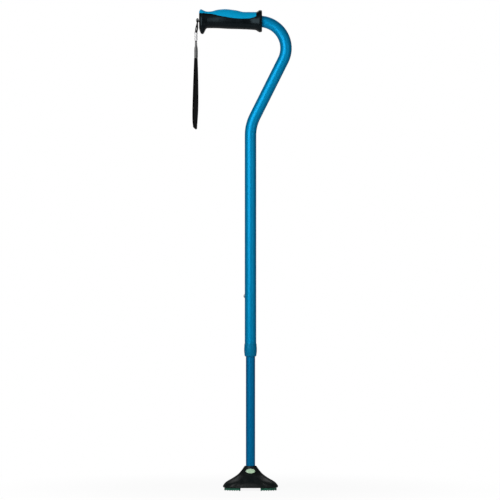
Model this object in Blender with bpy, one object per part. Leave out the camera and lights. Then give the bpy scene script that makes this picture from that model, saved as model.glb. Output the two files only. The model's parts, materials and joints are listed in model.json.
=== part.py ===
"""Offset quad cane: bent tube and grip, height adjustment, four-pad foot and wrist strap.

Metres, +Z up. The handle points along -X and the floor is Z = 0. The cane stands with its
shaft upright, at its greatest height, and its wrist strap hangs from the end of the handle.
Lengths below are in millimetres times MM. The shaft's axis is the line X = SHAFT_X, Y = 0.
"""

import math

import bmesh
import bpy
from mathutils import Matrix, Vector

MM = 0.001
WELD = 1e-6
CLEARANCE = 0.3 * MM

# Tubes
LEG_DIAMETER = 19.05 * MM
LEG_WALL = 1.2 * MM
BUSH_WALL = 0.575 * MM
UPPER_WALL = 1.2 * MM
LEG_RADIUS = LEG_DIAMETER / 2
LEG_BORE_RADIUS = LEG_RADIUS - LEG_WALL
BUSH_BORE_RADIUS = LEG_RADIUS + CLEARANCE
BUSH_RADIUS = BUSH_BORE_RADIUS + BUSH_WALL
UPPER_BORE_RADIUS = BUSH_RADIUS + CLEARANCE
UPPER_RADIUS = UPPER_BORE_RADIUS + UPPER_WALL

# Heights, from the floor up
FOOT_HEIGHT = 49.3 * MM
LEG_SHOWING = 226.5 * MM
COLLAR_HEIGHT = 26.5 * MM
BUTTON_ABOVE_COLLAR = 98.4 * MM
SHAFT_LENGTH = 451.8 * MM
HANDLE_RISE = 215.4 * MM
COLLAR_BOTTOM = FOOT_HEIGHT + LEG_SHOWING
COLLAR_TOP = COLLAR_BOTTOM + COLLAR_HEIGHT
BUTTON_Z = COLLAR_TOP + BUTTON_ABOVE_COLLAR
LOWER_CORNER_Z = COLLAR_TOP + SHAFT_LENGTH
GRIP_AXIS_Z = LOWER_CORNER_Z + HANDLE_RISE

# Bends of the upper tube
SLANT = math.radians(26.6)
UPPER_BEND_RADIUS = 55.5 * MM
LOWER_BEND_RADIUS = 87.0 * MM
UPPER_TURN = math.pi / 2 + SLANT
HANDLE_OVERHANG = HANDLE_RISE * math.tan(SLANT)
UPPER_BEND_X = HANDLE_OVERHANG - UPPER_BEND_RADIUS * math.tan(UPPER_TURN / 2)

# Grip
GRIP_LENGTH = 130.4 * MM
GRIP_PAST_BEND_START = 5.9 * MM
GRIP_END_WALL = 4.6 * MM
PAD_THICKNESS = 3.0 * MM
PAD_SEAM = 0.45 * MM
PAD_END_BEFORE_GRIP_END = 12.0 * MM
GRIP_RIGHT_X = UPPER_BEND_X + GRIP_PAST_BEND_START
GRIP_LEFT_X = GRIP_RIGHT_X - GRIP_LENGTH

# End plug and strap eye
PLUG_FLANGE = 2.4 * MM
PLUG_LENGTH = 19.0 * MM
EYE_SHANK_RADIUS = 2.0 * MM
EYE_SHANK_LENGTH = 18.0 * MM
EYE_THICKNESS = 3.6 * MM
EYE_WALL = 1.2 * MM
EYE_HEIGHT = 8.4 * MM
EYE_RISE = 1.6 * MM
CORD_DIAMETER = 1.9 * MM
CORD_ROOM = 0.85 * MM
EYE_HOLE_RADIUS = CORD_DIAMETER / 2 + CORD_ROOM
EYE_HALF_WIDTH = EYE_HOLE_RADIUS + EYE_WALL
EYE_X = GRIP_LEFT_X - CLEARANCE - EYE_HALF_WIDTH
TUBE_END_X = GRIP_LEFT_X + GRIP_END_WALL + CLEARANCE + PLUG_FLANGE + CLEARANCE

# The shaft's axis stands so that the origin is under the middle of the rigid cane
SHAFT_X = -(EYE_X - EYE_HALF_WIDTH + UPPER_BEND_X + UPPER_BEND_RADIUS + UPPER_RADIUS) / 2

# Height stops, snap button and its spring. They face -X, turned a little to the back
STOPS_TURNED_BACK = math.radians(20)
STOPS = 10
STOP_PITCH = 25.0 * MM
BUTTON_DIAMETER = 7.5 * MM
BUTTON_STANDS_OUT = 3.1 * MM
BUTTON_FLANGE_WIDER = 1.25 * MM
BUTTON_FLANGE = 0.8 * MM
BUTTON_DOME = 2.4 * MM
BUTTON_HOLE_RADIUS = BUTTON_DIAMETER / 2 + CLEARANCE
BUTTON_TOP = UPPER_RADIUS + BUTTON_STANDS_OUT
BUTTON_FLANGE_RADIUS = BUTTON_DIAMETER / 2 + BUTTON_FLANGE_WIDER
BUTTON_BACK = math.sqrt(LEG_BORE_RADIUS**2 - BUTTON_FLANGE_RADIUS**2) - CLEARANCE - BUTTON_FLANGE
SPRING_THICKNESS = 0.7 * MM
SPRING_WIDTH = 7.0 * MM
SPRING_DROP = 45.0 * MM
SPRING_TIP_RISE = 5.0 * MM
SPRING_BEND_RADIUS = 2.6 * MM
LEG_ABOVE_BUTTON = 35.0 * MM
LEG_TOP = BUTTON_Z + LEG_ABOVE_BUTTON

# Bushes, clamp ring and locking collar
GUIDE_LENGTH = 20.0 * MM
GUIDE_CAP = 2.0 * MM
END_BUSH_LENGTH = 30.0 * MM
END_BUSH_FLANGE = 4.0 * MM
COLLAR_WALL = 1.0 * MM
COLLAR_LIP = 1.8 * MM
COLLAR_OVER_TUBE = 10.0 * MM
COLLAR_CHAMFER = 3.2 * MM
CLAMP_SLOT = 1.6 * MM
CLAMP_TAPER = 0.8 * MM
UPPER_END_Z = COLLAR_TOP - COLLAR_OVER_TUBE
COLLAR_BORE_RADIUS = UPPER_RADIUS + CLEARANCE
COLLAR_RADIUS = COLLAR_BORE_RADIUS + COLLAR_WALL
END_BUSH_BOTTOM = UPPER_END_Z - CLEARANCE - END_BUSH_FLANGE
CLAMP_BOTTOM = COLLAR_BOTTOM + COLLAR_LIP + CLEARANCE
CLAMP_TOP = END_BUSH_BOTTOM - CLEARANCE

# Foot
FOOT_HALF_LENGTH = 57.0 * MM
FOOT_HALF_DEPTH = 43.0 * MM
FOOT_RIM_WALL = 2.1 * MM
SOLE_THICKNESS = 5.5 * MM
SOLE_INSET = 2.6 * MM
SOLE_INNER_X = 20.7 * MM
SOLE_INNER_Y = 14.5 * MM
SOLE_CORNER = 3.2 * MM
TREAD_GROOVES = 6
TREAD_GROOVE_WIDTH = 1.3 * MM
TREAD_GROOVE_DEPTH = 1.2 * MM
SKIRT_WALL = 4.0 * MM
HOLLOW_DEPTH = 4.6 * MM
SOCKET_FLOOR = 3.6 * MM
WASHER_THICKNESS = 1.5 * MM
WASHER_HOLE_RADIUS = 4.0 * MM
FOOT_RIM_RADIUS = LEG_RADIUS + CLEARANCE + FOOT_RIM_WALL
FOOT_BOTTOM = SOLE_THICKNESS + CLEARANCE
SOCKET_BOTTOM = FOOT_BOTTOM + HOLLOW_DEPTH + SOCKET_FLOOR
LEG_BOTTOM = SOCKET_BOTTOM + CLEARANCE + WASHER_THICKNESS + CLEARANCE

# Blank badge on the front of the foot
BADGE_WIDTH = 19.5 * MM
BADGE_HEIGHT = 12.6 * MM
BADGE_THICKNESS = 1.2 * MM
BADGE_Z = 38.5 * MM
BADGE_MARGIN = 0.5 * MM
BADGE_BOSS_PROUD = 0.6 * MM

# Wrist strap, below the eye
CRIMP_RADIUS = 3.0 * MM
CRIMP_LENGTH = 16.4 * MM
SWIVEL_HEAD_RADIUS = 1.9 * MM
SWIVEL_NECK_RADIUS = 1.1 * MM
SWIVEL_LENGTH = 6.4 * MM
SLEEVE_LENGTH = 29.0 * MM
WEBBING_THICKNESS = 1.2 * MM
STRAP_X = -3.0 * MM
CRIMP_TOP = -25.0 * MM
SWIVEL_TOP = CRIMP_TOP - CRIMP_LENGTH - CLEARANCE
SLEEVE_TOP = SWIVEL_TOP - SWIVEL_LENGTH - CLEARANCE
WEBBING_TOP = SLEEVE_TOP - SLEEVE_LENGTH - CLEARANCE

# How finely round shapes are drawn
TUBE_SIDES = 28
SMALL_SIDES = 20
FOOT_SIDES = 48
BEND_STEP = math.radians(9.0)

# Finishes: colour, roughness and metallic value
FINISHES = {
    "upper blue": ((0.0, 0.25, 0.45), 0.35, 0.8),
    "leg blue": ((0.0, 0.18, 0.34), 0.35, 0.8),
    "collar blue": ((0.0, 0.22, 0.38), 0.4, 0.8),
    "pad blue": ((0.0, 0.27, 0.50), 0.5, 0.0),
    "grip black": ((0.012, 0.014, 0.017), 0.6, 0.0),
    "foot black": ((0.016, 0.018, 0.018), 0.65, 0.0),
    "sole green": ((0.03, 0.14, 0.09), 0.7, 0.0),
    "badge green": ((0.62, 0.78, 0.66), 0.35, 0.0),
    "black nylon": ((0.02, 0.02, 0.02), 0.5, 0.0),
    "white nylon": ((0.55, 0.55, 0.53), 0.5, 0.0),
    "grey nylon": ((0.10, 0.11, 0.11), 0.5, 0.0),
    "black cord": ((0.012, 0.012, 0.013), 0.8, 0.0),
    "black webbing": ((0.010, 0.010, 0.011), 0.85, 0.0),
    "bright metal": ((0.72, 0.72, 0.73), 0.3, 1.0),
    "steel": ((0.50, 0.50, 0.52), 0.35, 1.0),
}

# Outline of the grip above, below and beside the tube's surface, and its pad's seam above it,
# in millimetres. The flange rows count from the nearer end, and the palm rows are shares of
# the stretch between the flanges.
LEFT_FLANGE_ROWS = (
    (0.0, 5.1, -1.9, 0.1, 3.8),
    (1.0, 8.1, 2.3, 3.1, 3.8),
    (2.4, 10.4, 8.1, 5.1, 3.8),
    (4.1, 12.2, 12.3, 6.1, 3.8),
    (6.2, 11.3, 14.2, 6.3, 3.8),
    (8.2, 10.2, 13.6, 6.1, 3.8),
    (10.3, 9.3, 10.9, 5.7, 3.8),
    (12.4, 8.5, 6.6, 5.3, 3.8),
    (14.5, 8.0, 3.3, 5.1, 3.7),
    (17.0, 7.8, 2.1, 4.9, 3.6),
)
PALM_ROWS = (
    (0.056, 8.1, 2.1, 5.0, 3.2),
    (0.120, 9.6, 2.1, 5.2, 2.7),
    (0.183, 11.4, 2.2, 5.5, 1.4),
    (0.245, 12.3, 2.3, 5.8, 0.1),
    (0.370, 13.3, 3.0, 6.1, -1.9),
    (0.494, 12.3, 3.5, 5.9, -3.9),
    (0.618, 10.4, 3.8, 5.5, -5.4),
    (0.680, 8.8, 4.0, 5.3, -5.8),
    (0.744, 7.6, 4.2, 5.1, -5.9),
    (0.806, 7.4, 4.4, 5.0, -5.8),
    (0.900, 7.4, 4.9, 5.0, -4.9),
)
RIGHT_FLANGE_ROWS = (
    (13.8, 7.6, 6.0, 5.3, -1.9),
    (12.0, 7.8, 6.4, 5.7, -0.9),
    (9.5, 8.8, 8.1, 7.1, -0.9),
    (7.2, 10.5, 9.5, 8.4, -0.9),
    (5.2, 11.3, 10.3, 9.1, -0.9),
    (2.2, 11.2, 10.1, 9.0, -0.9),
    (0.7, 10.4, 9.3, 8.1, -0.9),
    (0.0, 8.9, 7.9, 6.7, -0.9),
)
GRIP_LOWER_STEPS = 18
GRIP_PAD_STEPS = 10

# Flank of the foot: the share of the way down from rim to hem, the share of the way out from
# rim to toe, and the exponent of the plan's rounded rectangle, from 2, an ellipse
FOOT_ROWS = (
    (0.000, 0.000, 2.0),
    (0.024, 0.020, 2.0),
    (0.113, 0.078, 2.0),
    (0.209, 0.146, 2.1),
    (0.306, 0.224, 2.2),
    (0.402, 0.317, 2.4),
    (0.503, 0.450, 2.7),
    (0.607, 0.605, 3.1),
    (0.713, 0.783, 3.6),
    (0.811, 0.902, 4.0),
    (0.903, 0.969, 4.2),
    (0.954, 1.000, 4.3),
    (0.986, 0.998, 4.3),
    (1.000, 0.984, 4.3),
)

# Wrist cord: the route of its middle line from the crimp up through the eye and back,
# in millimetres from the middle of the eye's hole
CORD_ROUTE = (
    (-4.1, -0.5, -24.7),
    (-4.5, -1.1, -22.0),
    (-4.4, -1.8, -18.5),
    (-3.4, -2.7, -14.5),
    (-1.9, -3.5, -10.5),
    (-0.8, -4.1, -7.0),
    (-0.3, -4.3, -4.3),
    (-0.1, -3.7, -1.9),
    (0.0, -2.2, -0.5),
    (0.0, -0.7, 0.0),
    (0.0, 0.7, 0.0),
    (0.0, 2.2, -0.5),
    (-0.1, 3.7, -1.9),
    (-0.2, 4.3, -4.3),
    (-0.2, 4.1, -7.0),
    (-0.1, 3.5, -10.5),
    (-0.1, 2.7, -14.5),
    (-0.6, 1.8, -18.5),
    (-1.3, 1.1, -22.0),
    (-1.9, 0.5, -24.7),
)

# Sleeve, from the swivel down: the share of its length, its width and its thickness
SLEEVE_ROWS = (
    (0.0, 3.2, 2.6),
    (0.2, 6.6, 3.0),
    (0.42, 8.0, 3.3),
    (1.0, 7.2, 3.4),
)

# Webbing loop, from the sleeve down: the drop below the sleeve, the sideways drift, half the
# space between the layers' middle lines, the width, its turn from the front view's plane and
# its lean, in millimetres and degrees. Past the last row the loop closes in a round fold.
WEBBING_ROWS = (
    (0.0, -0.6, 1.0, 6.6, 52.0, 0.0),
    (14.0, -0.6, 1.6, 7.2, 56.0, 0.0),
    (30.0, -0.8, 2.0, 7.8, 59.0, 0.0),
    (53.0, -1.0, 2.5, 8.0, 50.0, 0.0),
    (78.0, -1.3, 3.0, 8.0, 39.0, 0.0),
    (103.0, -1.8, 3.2, 8.0, 34.0, 0.0),
    (118.0, -2.2, 2.9, 8.0, 35.0, 2.0),
    (128.0, -2.4, 2.4, 8.0, 42.0, 7.0),
    (136.5, -2.3, 2.0, 8.0, 50.0, 16.0),
    (142.5, -2.0, 1.7, 8.0, 55.0, 26.0),
)
FOLD_STEPS = 6


def clear_scene():
    """Remove every object that the scene starts with."""
    for existing in list(bpy.data.objects):
        bpy.data.objects.remove(existing, do_unlink=True)


def add_empty(name, location, parent=None, turn=0.0):
    """Add an empty that carries pieces, on a joint's axis or a datum line."""
    empty = bpy.data.objects.new(name, None)
    empty.location = location
    empty.rotation_euler.z = turn
    empty.empty_display_size = 20 * MM
    empty.parent = parent
    bpy.context.scene.collection.objects.link(empty)
    return empty


def place(name, data, parent, finish):
    """Make a named object of a mesh or a curve, with its own material, on its empty."""
    piece = bpy.data.objects.new(name, data)
    piece.parent = parent
    bpy.context.scene.collection.objects.link(piece)
    colour, roughness, metallic = FINISHES[finish]
    material = bpy.data.materials.new(f"{name}_{finish}")
    material.use_nodes = True
    shader = material.node_tree.nodes["Principled BSDF"]
    shader.inputs["Base Color"].default_value = (*colour, 1.0)
    shader.inputs["Roughness"].default_value = roughness
    shader.inputs["Metallic"].default_value = metallic
    data.materials.append(material)
    return piece


def add_piece(name, bm, parent, finish):
    """Make a named object of a bmesh, smooth where it is round."""
    mesh = bpy.data.meshes.new(name)
    bm.to_mesh(mesh)
    bm.free()
    mesh.shade_smooth()
    mesh.set_sharp_from_angle(angle=math.radians(35))
    return place(name, mesh, parent, finish)


def add_tool(name, bm, parent):
    """Make an object that only shapes another one, and that isn't rendered."""
    mesh = bpy.data.meshes.new(name)
    bm.to_mesh(mesh)
    bm.free()
    tool = bpy.data.objects.new(name, mesh)
    tool.parent = parent
    tool.hide_render = True
    tool.display_type = "WIRE"
    bpy.context.scene.collection.objects.link(tool)
    return tool


def combine(piece, tool, operation):
    """Cut a tool out of a piece with DIFFERENCE, or join it on with UNION."""
    modifier = piece.modifiers.new(tool.name, "BOOLEAN")
    modifier.operation = operation
    modifier.object = tool
    modifier.solver = "EXACT"


def turned(profile, sides=TUBE_SIDES):
    """Turn a profile of (radius, height) points about Z. One that ends on the axis is solid."""
    bm = bmesh.new()
    points = [bm.verts.new((radius, 0.0, height)) for radius, height in profile]
    edges = [bm.edges.new(pair) for pair in zip(points, points[1:])]
    if profile[0][0] > 0 or profile[-1][0] > 0:
        edges.append(bm.edges.new((points[-1], points[0])))
    bmesh.ops.spin(
        bm,
        geom=points + edges,
        cent=(0, 0, 0),
        axis=(0, 0, 1),
        angle=math.tau,
        steps=sides,
    )
    bmesh.ops.remove_doubles(bm, verts=bm.verts, dist=WELD)
    bmesh.ops.recalc_face_normals(bm, faces=bm.faces)
    return bm


def ring_profile(inner, outer, bottom, top):
    """The profile of a plain ring or a straight tube."""
    return [(inner, bottom), (outer, bottom), (outer, top), (inner, top)]


def rod_profile(radius, bottom, top):
    """The profile of a solid rod."""
    return [(0.0, bottom), (radius, bottom), (radius, top), (0.0, top)]


def along_x(bm):
    """Turn a piece made about Z so that its height runs along +X."""
    bm.transform(Matrix.Rotation(math.pi / 2, 4, "Y"))
    return bm


def lofted(rings, joined=False):
    """Skin closed rings of points in order, and close the ends with a face or on themselves."""
    bm = bmesh.new()
    made = [[bm.verts.new(point) for point in ring] for ring in rings]
    pairs = list(zip(made, made[1:]))
    if joined:
        pairs.append((made[-1], made[0]))
    for near, far in pairs:
        for i in range(len(near)):
            j = (i + 1) % len(near)
            bm.faces.new((near[i], near[j], far[j], far[i]))
    if not joined:
        bm.faces.new(made[0])
        bm.faces.new(made[-1])
    bmesh.ops.remove_doubles(bm, verts=bm.verts, dist=WELD)
    bmesh.ops.dissolve_degenerate(bm, edges=bm.edges, dist=WELD)
    bmesh.ops.recalc_face_normals(bm, faces=bm.faces)
    return bm


def prism(outline, direction):
    """Extrude a flat outline of points along a direction."""
    bm = bmesh.new()
    face = bm.faces.new([bm.verts.new(point) for point in outline])
    grown = bmesh.ops.extrude_face_region(bm, geom=[face])["geom"]
    moved = [item for item in grown if isinstance(item, bmesh.types.BMVert)]
    bmesh.ops.translate(bm, verts=moved, vec=direction)
    bmesh.ops.recalc_face_normals(bm, faces=bm.faces)
    return bm


def box(low, high):
    """A box from its lowest and highest corners."""
    size = [b - a for a, b in zip(low, high)]
    middle = [(a + b) / 2 for a, b in zip(low, high)]
    bm = bmesh.new()
    bmesh.ops.create_cube(
        bm, size=1.0, matrix=Matrix.Translation(middle) @ Matrix.Diagonal((*size, 1.0))
    )
    return bm


def gathered(parts):
    """Put several bmeshes that don't touch into one."""
    whole = bmesh.new()
    for bm in parts:
        mesh = bpy.data.meshes.new("gathered")
        bm.to_mesh(mesh)
        bm.free()
        whole.from_mesh(mesh)
        bpy.data.meshes.remove(mesh)
    return whole


# Upper tube


def upper_centreline():
    """Points and headings of the upper tube's middle line, from handle end to lower end.

    X and Z are measured from the shaft's axis and the floor. A heading is the angle of the
    way along the tube, from +X towards +Z.
    """
    stations = [((TUBE_END_X, GRIP_AXIS_Z), 0.0)]
    centre = (UPPER_BEND_X, GRIP_AXIS_Z - UPPER_BEND_RADIUS)
    steps = round(UPPER_TURN / BEND_STEP)
    for i in range(steps + 1):
        turn = UPPER_TURN * i / steps
        x = centre[0] + UPPER_BEND_RADIUS * math.sin(turn)
        z = centre[1] + UPPER_BEND_RADIUS * math.cos(turn)
        stations.append(((x, z), -turn))
    tangent = LOWER_BEND_RADIUS * math.tan(SLANT / 2)
    centre = (LOWER_BEND_RADIUS, LOWER_CORNER_Z - tangent)
    steps = max(2, round(SLANT / BEND_STEP))
    for i in range(steps + 1):
        turn = SLANT * (1 - i / steps)
        x = centre[0] - LOWER_BEND_RADIUS * math.cos(turn)
        z = centre[1] + LOWER_BEND_RADIUS * math.sin(turn)
        stations.append(((x, z), -math.pi / 2 - turn))
    stations.append(((0.0, UPPER_END_Z), -math.pi / 2))
    return stations


def tube_ring(station, radius):
    """A circle square to the tube's middle line."""
    (x, z), heading = station
    up = Vector((-math.sin(heading), 0.0, math.cos(heading)))
    side = Vector((0.0, 1.0, 0.0))
    middle = Vector((x, 0.0, z))
    angles = [math.tau * i / TUBE_SIDES for i in range(TUBE_SIDES)]
    return [middle + radius * (math.cos(a) * up + math.sin(a) * side) for a in angles]


def build_upper_tube(shaft, button):
    """Bent tube with the row of stop holes that the button snaps into."""
    stations = upper_centreline()
    outside = [tube_ring(station, UPPER_RADIUS) for station in stations]
    inside = [tube_ring(station, UPPER_BORE_RADIUS) for station in reversed(stations)]
    tube = add_piece("upper_tube", lofted(outside + inside, joined=True), shaft, "upper blue")
    holes = []
    for stop in range(STOPS):
        hole = along_x(turned(rod_profile(BUTTON_HOLE_RADIUS, -2 * UPPER_RADIUS, 0.0), SMALL_SIDES))
        hole.transform(Matrix.Translation((0.0, 0.0, stop * STOP_PITCH)))
        holes.append(hole)
    combine(tube, add_tool("stop_hole_cutter", gathered(holes), button), "DIFFERENCE")


# Grip


def grip_stations():
    """The grip's outline rows at their places along X: (x, top, bottom, side, seam)."""
    palm_start = GRIP_LEFT_X + LEFT_FLANGE_ROWS[-1][0] * MM
    palm_end = GRIP_RIGHT_X - RIGHT_FLANGE_ROWS[0][0] * MM
    placed = [(GRIP_LEFT_X + row[0] * MM, row) for row in LEFT_FLANGE_ROWS]
    placed += [(palm_start + row[0] * (palm_end - palm_start), row) for row in PALM_ROWS]
    placed += [(GRIP_RIGHT_X - row[0] * MM, row) for row in RIGHT_FLANGE_ROWS]
    return [(x, *(UPPER_RADIUS + value * MM for value in row[1:])) for x, row in placed]


def grip_point(station, angle, inset=0.0):
    """A point of the grip's contour, at an angle from the top, set in from the surface."""
    x, top, bottom, side, _ = station
    tall = top if math.cos(angle) > 0 else bottom
    return Vector(
        (x, (side - inset) * math.sin(angle), (tall - inset) * math.cos(angle))
    )


def seam_angle(station):
    """The angle from the top at which the palm pad's edge lies."""
    _, top, _, _, seam = station
    return math.acos(max(-0.95, min(0.95, seam / top)))


def spread(first, last, steps):
    """Evenly spaced values from first to last."""
    return [first + (last - first) * i / steps for i in range(steps + 1)]


def grip_ring(station, recess):
    """The body's contour, with the palm pad's recess sunk into its top."""
    edge = seam_angle(station) + PAD_SEAM / (station[3] - PAD_THICKNESS)
    lower = spread(edge, math.tau - edge, GRIP_LOWER_STEPS)
    upper = spread(-edge, edge, GRIP_PAD_STEPS)
    ring = [grip_point(station, angle) for angle in lower]
    return ring + [grip_point(station, angle, recess) for angle in upper]


def pad_ring(station):
    """The palm pad's section: its outer face, then its inner face back again."""
    edge = seam_angle(station)
    across = spread(-edge, edge, GRIP_PAD_STEPS)
    ring = [grip_point(station, angle) for angle in across]
    return ring + [grip_point(station, angle, PAD_THICKNESS) for angle in reversed(across)]


def build_grip(handle):
    """Rubber body over the handle end of the tube, and the palm pad set into its top."""
    stations = grip_stations()
    pad_end_x = GRIP_RIGHT_X - PAD_END_BEFORE_GRIP_END
    padded = [station for station in stations if station[0] <= pad_end_x + WELD]
    bare = stations[len(padded) :]
    recess = PAD_THICKNESS + CLEARANCE
    last = padded[-1]
    recess_end = (last[0] + CLEARANCE, *last[1:])
    rings = [grip_ring(station, recess) for station in [*padded, recess_end]]
    rings += [grip_ring(station, 0.0) for station in [recess_end, *bare]]
    body = add_piece("grip_body", lofted(rings), handle, "grip black")
    bore = turned(
        [
            (0.0, GRIP_LEFT_X - GRIP_END_WALL),
            (EYE_SHANK_RADIUS + CLEARANCE, GRIP_LEFT_X - GRIP_END_WALL),
            (EYE_SHANK_RADIUS + CLEARANCE, GRIP_LEFT_X + GRIP_END_WALL),
            (UPPER_RADIUS + CLEARANCE, GRIP_LEFT_X + GRIP_END_WALL),
            (UPPER_RADIUS + CLEARANCE, GRIP_RIGHT_X + GRIP_END_WALL),
            (0.0, GRIP_RIGHT_X + GRIP_END_WALL),
        ]
    )
    combine(body, add_tool("grip_bore_cutter", along_x(bore), handle), "DIFFERENCE")
    bend = build_bend_cutter(handle)
    combine(body, bend, "DIFFERENCE")
    pad = lofted([pad_ring(station) for station in padded])
    add_piece("grip_palm_pad", pad, handle, "pad blue")


def build_bend_cutter(handle):
    """The start of the tube's bend, which the grip's right end has to clear."""
    centre_z = -UPPER_BEND_RADIUS
    turn = 2 * GRIP_PAST_BEND_START / UPPER_BEND_RADIUS
    rings = []
    for angle in spread(0.0, turn, 4):
        middle = (
            UPPER_BEND_X + UPPER_BEND_RADIUS * math.sin(angle),
            centre_z + UPPER_BEND_RADIUS * math.cos(angle),
        )
        rings.append(tube_ring((middle, -angle), UPPER_RADIUS + CLEARANCE))
    return add_tool("grip_bend_cutter", lofted(rings), handle)


def build_end_plug(handle):
    """Plug in the handle's open end, which the strap eye's shank screws into."""
    flange_left = GRIP_LEFT_X + GRIP_END_WALL + CLEARANCE
    flange_right = flange_left + PLUG_FLANGE
    bore = EYE_SHANK_RADIUS + CLEARANCE
    profile = [
        (bore, flange_left),
        (UPPER_RADIUS - CLEARANCE, flange_left),
        (UPPER_RADIUS - CLEARANCE, flange_right),
        (UPPER_BORE_RADIUS - CLEARANCE, flange_right),
        (UPPER_BORE_RADIUS - CLEARANCE, flange_right + PLUG_LENGTH),
        (bore, flange_right + PLUG_LENGTH),
    ]
    add_piece("tube_end_plug", along_x(turned(profile)), handle, "black nylon")


def build_strap_eye(handle):
    """Grey eye on the end of the handle: an upright oval lug with a cross hole, and a shank."""
    outline = []
    for i in range(SMALL_SIDES):
        angle = math.tau * i / SMALL_SIDES
        x = EYE_X + EYE_HALF_WIDTH * math.cos(angle)
        z = EYE_RISE + EYE_HEIGHT / 2 * math.sin(angle)
        outline.append((x, -EYE_THICKNESS / 2, z))
    eye = add_piece("strap_eye", prism(outline, (0.0, EYE_THICKNESS, 0.0)), handle, "grey nylon")
    shank_end = GRIP_LEFT_X + EYE_SHANK_LENGTH
    shank_start = EYE_X + EYE_HOLE_RADIUS + EYE_WALL / 2
    shank = along_x(turned(rod_profile(EYE_SHANK_RADIUS, shank_start, shank_end), SMALL_SIDES))
    combine(eye, add_tool("eye_shank", shank, handle), "UNION")
    hole = turned(rod_profile(EYE_HOLE_RADIUS, -EYE_THICKNESS, EYE_THICKNESS), SMALL_SIDES)
    hole.transform(Matrix.Rotation(math.pi / 2, 4, "X"))
    hole.transform(Matrix.Translation((EYE_X, 0.0, EYE_RISE)))
    combine(eye, add_tool("eye_hole_cutter", hole, handle), "DIFFERENCE")


# Lower end of the upper tube


def build_end_bush(shaft):
    """Nylon bush in the tube's lower end, which the leg slides in."""
    flange_top = END_BUSH_BOTTOM + END_BUSH_FLANGE
    profile = [
        (BUSH_BORE_RADIUS, END_BUSH_BOTTOM),
        (UPPER_RADIUS, END_BUSH_BOTTOM),
        (UPPER_RADIUS, flange_top),
        (BUSH_RADIUS, flange_top),
        (BUSH_RADIUS, flange_top + END_BUSH_LENGTH),
        (BUSH_BORE_RADIUS, flange_top + END_BUSH_LENGTH),
    ]
    add_piece("tube_end_bush", turned(profile), shaft, "white nylon")


def build_clamp_ring(collar):
    """Split nylon ring that the collar squeezes on the leg. Its slot faces +Y."""
    profile = [
        (BUSH_BORE_RADIUS, CLAMP_BOTTOM),
        (UPPER_RADIUS - CLAMP_TAPER, CLAMP_BOTTOM),
        (UPPER_RADIUS, (CLAMP_BOTTOM + CLAMP_TOP) / 2),
        (UPPER_RADIUS, CLAMP_TOP),
        (BUSH_BORE_RADIUS, CLAMP_TOP),
    ]
    ring = add_piece("clamp_ring", turned(profile), collar, "black nylon")
    slot = box(
        (-CLAMP_SLOT / 2, 0.0, CLAMP_BOTTOM - CLEARANCE),
        (CLAMP_SLOT / 2, 2 * UPPER_RADIUS, CLAMP_TOP + CLEARANCE),
    )
    combine(ring, add_tool("clamp_slot_cutter", slot, collar), "DIFFERENCE")


def build_lock_collar(collar):
    """Blue collar that screws up on the tube's end. It swells to the middle and tapers below."""
    lip_radius = LEG_RADIUS + CLEARANCE
    swell_bottom = COLLAR_BOTTOM + COLLAR_CHAMFER
    swell_top = COLLAR_TOP - COLLAR_CHAMFER
    profile = [
        (lip_radius, COLLAR_BOTTOM),
        (lip_radius + COLLAR_WALL, COLLAR_BOTTOM),
        (COLLAR_RADIUS - 0.7 * COLLAR_WALL, COLLAR_BOTTOM + COLLAR_CHAMFER / 3),
        (COLLAR_RADIUS - 0.2 * COLLAR_WALL, swell_bottom),
        (COLLAR_RADIUS, (swell_bottom + swell_top) / 2),
        (COLLAR_RADIUS, swell_top),
        (COLLAR_RADIUS - 0.4 * COLLAR_WALL, COLLAR_TOP - COLLAR_CHAMFER / 3),
        (COLLAR_BORE_RADIUS + 0.3 * COLLAR_WALL, COLLAR_TOP),
        (COLLAR_BORE_RADIUS, COLLAR_TOP),
        (COLLAR_BORE_RADIUS, COLLAR_BOTTOM + COLLAR_LIP),
        (lip_radius, COLLAR_BOTTOM + COLLAR_LIP),
    ]
    add_piece("lock_collar", turned(profile), collar, "collar blue")


# Leg, button and spring


def build_leg(shaft, button):
    """Leg tube with the hole that the button comes out of, and the bush on its top."""
    profile = ring_profile(LEG_BORE_RADIUS, LEG_RADIUS, LEG_BOTTOM, LEG_TOP)
    leg = add_piece("leg_tube", turned(profile), shaft, "leg blue")
    hole = along_x(turned(rod_profile(BUTTON_HOLE_RADIUS, -2 * LEG_RADIUS, 0.0), SMALL_SIDES))
    combine(leg, add_tool("button_hole_cutter", hole, button), "DIFFERENCE")
    cap_bottom = LEG_TOP + CLEARANCE
    guide = [
        (LEG_BORE_RADIUS - LEG_WALL, cap_bottom),
        (BUSH_BORE_RADIUS, cap_bottom),
        (BUSH_BORE_RADIUS, LEG_TOP - GUIDE_LENGTH),
        (BUSH_RADIUS, LEG_TOP - GUIDE_LENGTH),
        (BUSH_RADIUS, cap_bottom + GUIDE_CAP),
        (LEG_BORE_RADIUS - LEG_WALL, cap_bottom + GUIDE_CAP),
    ]
    add_piece("leg_guide_bush", turned(guide), shaft, "white nylon")


def build_button(button):
    """Domed steel button, with a flange that keeps it inside the leg."""
    radius = BUTTON_DIAMETER / 2
    profile = [
        (0.0, BUTTON_BACK),
        (BUTTON_FLANGE_RADIUS, BUTTON_BACK),
        (BUTTON_FLANGE_RADIUS, BUTTON_BACK + BUTTON_FLANGE),
        (radius, BUTTON_BACK + BUTTON_FLANGE),
    ]
    for angle in spread(0.0, math.pi / 2, 5):
        profile.append(
            (radius * math.cos(angle), BUTTON_TOP - BUTTON_DOME * (1 - math.sin(angle)))
        )
    profile[-1] = (0.0, BUTTON_TOP)
    bm = along_x(turned(profile, SMALL_SIDES))
    bm.transform(Matrix.Rotation(math.pi, 4, "Z"))
    add_piece("snap_button", bm, button, "bright metal")


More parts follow.
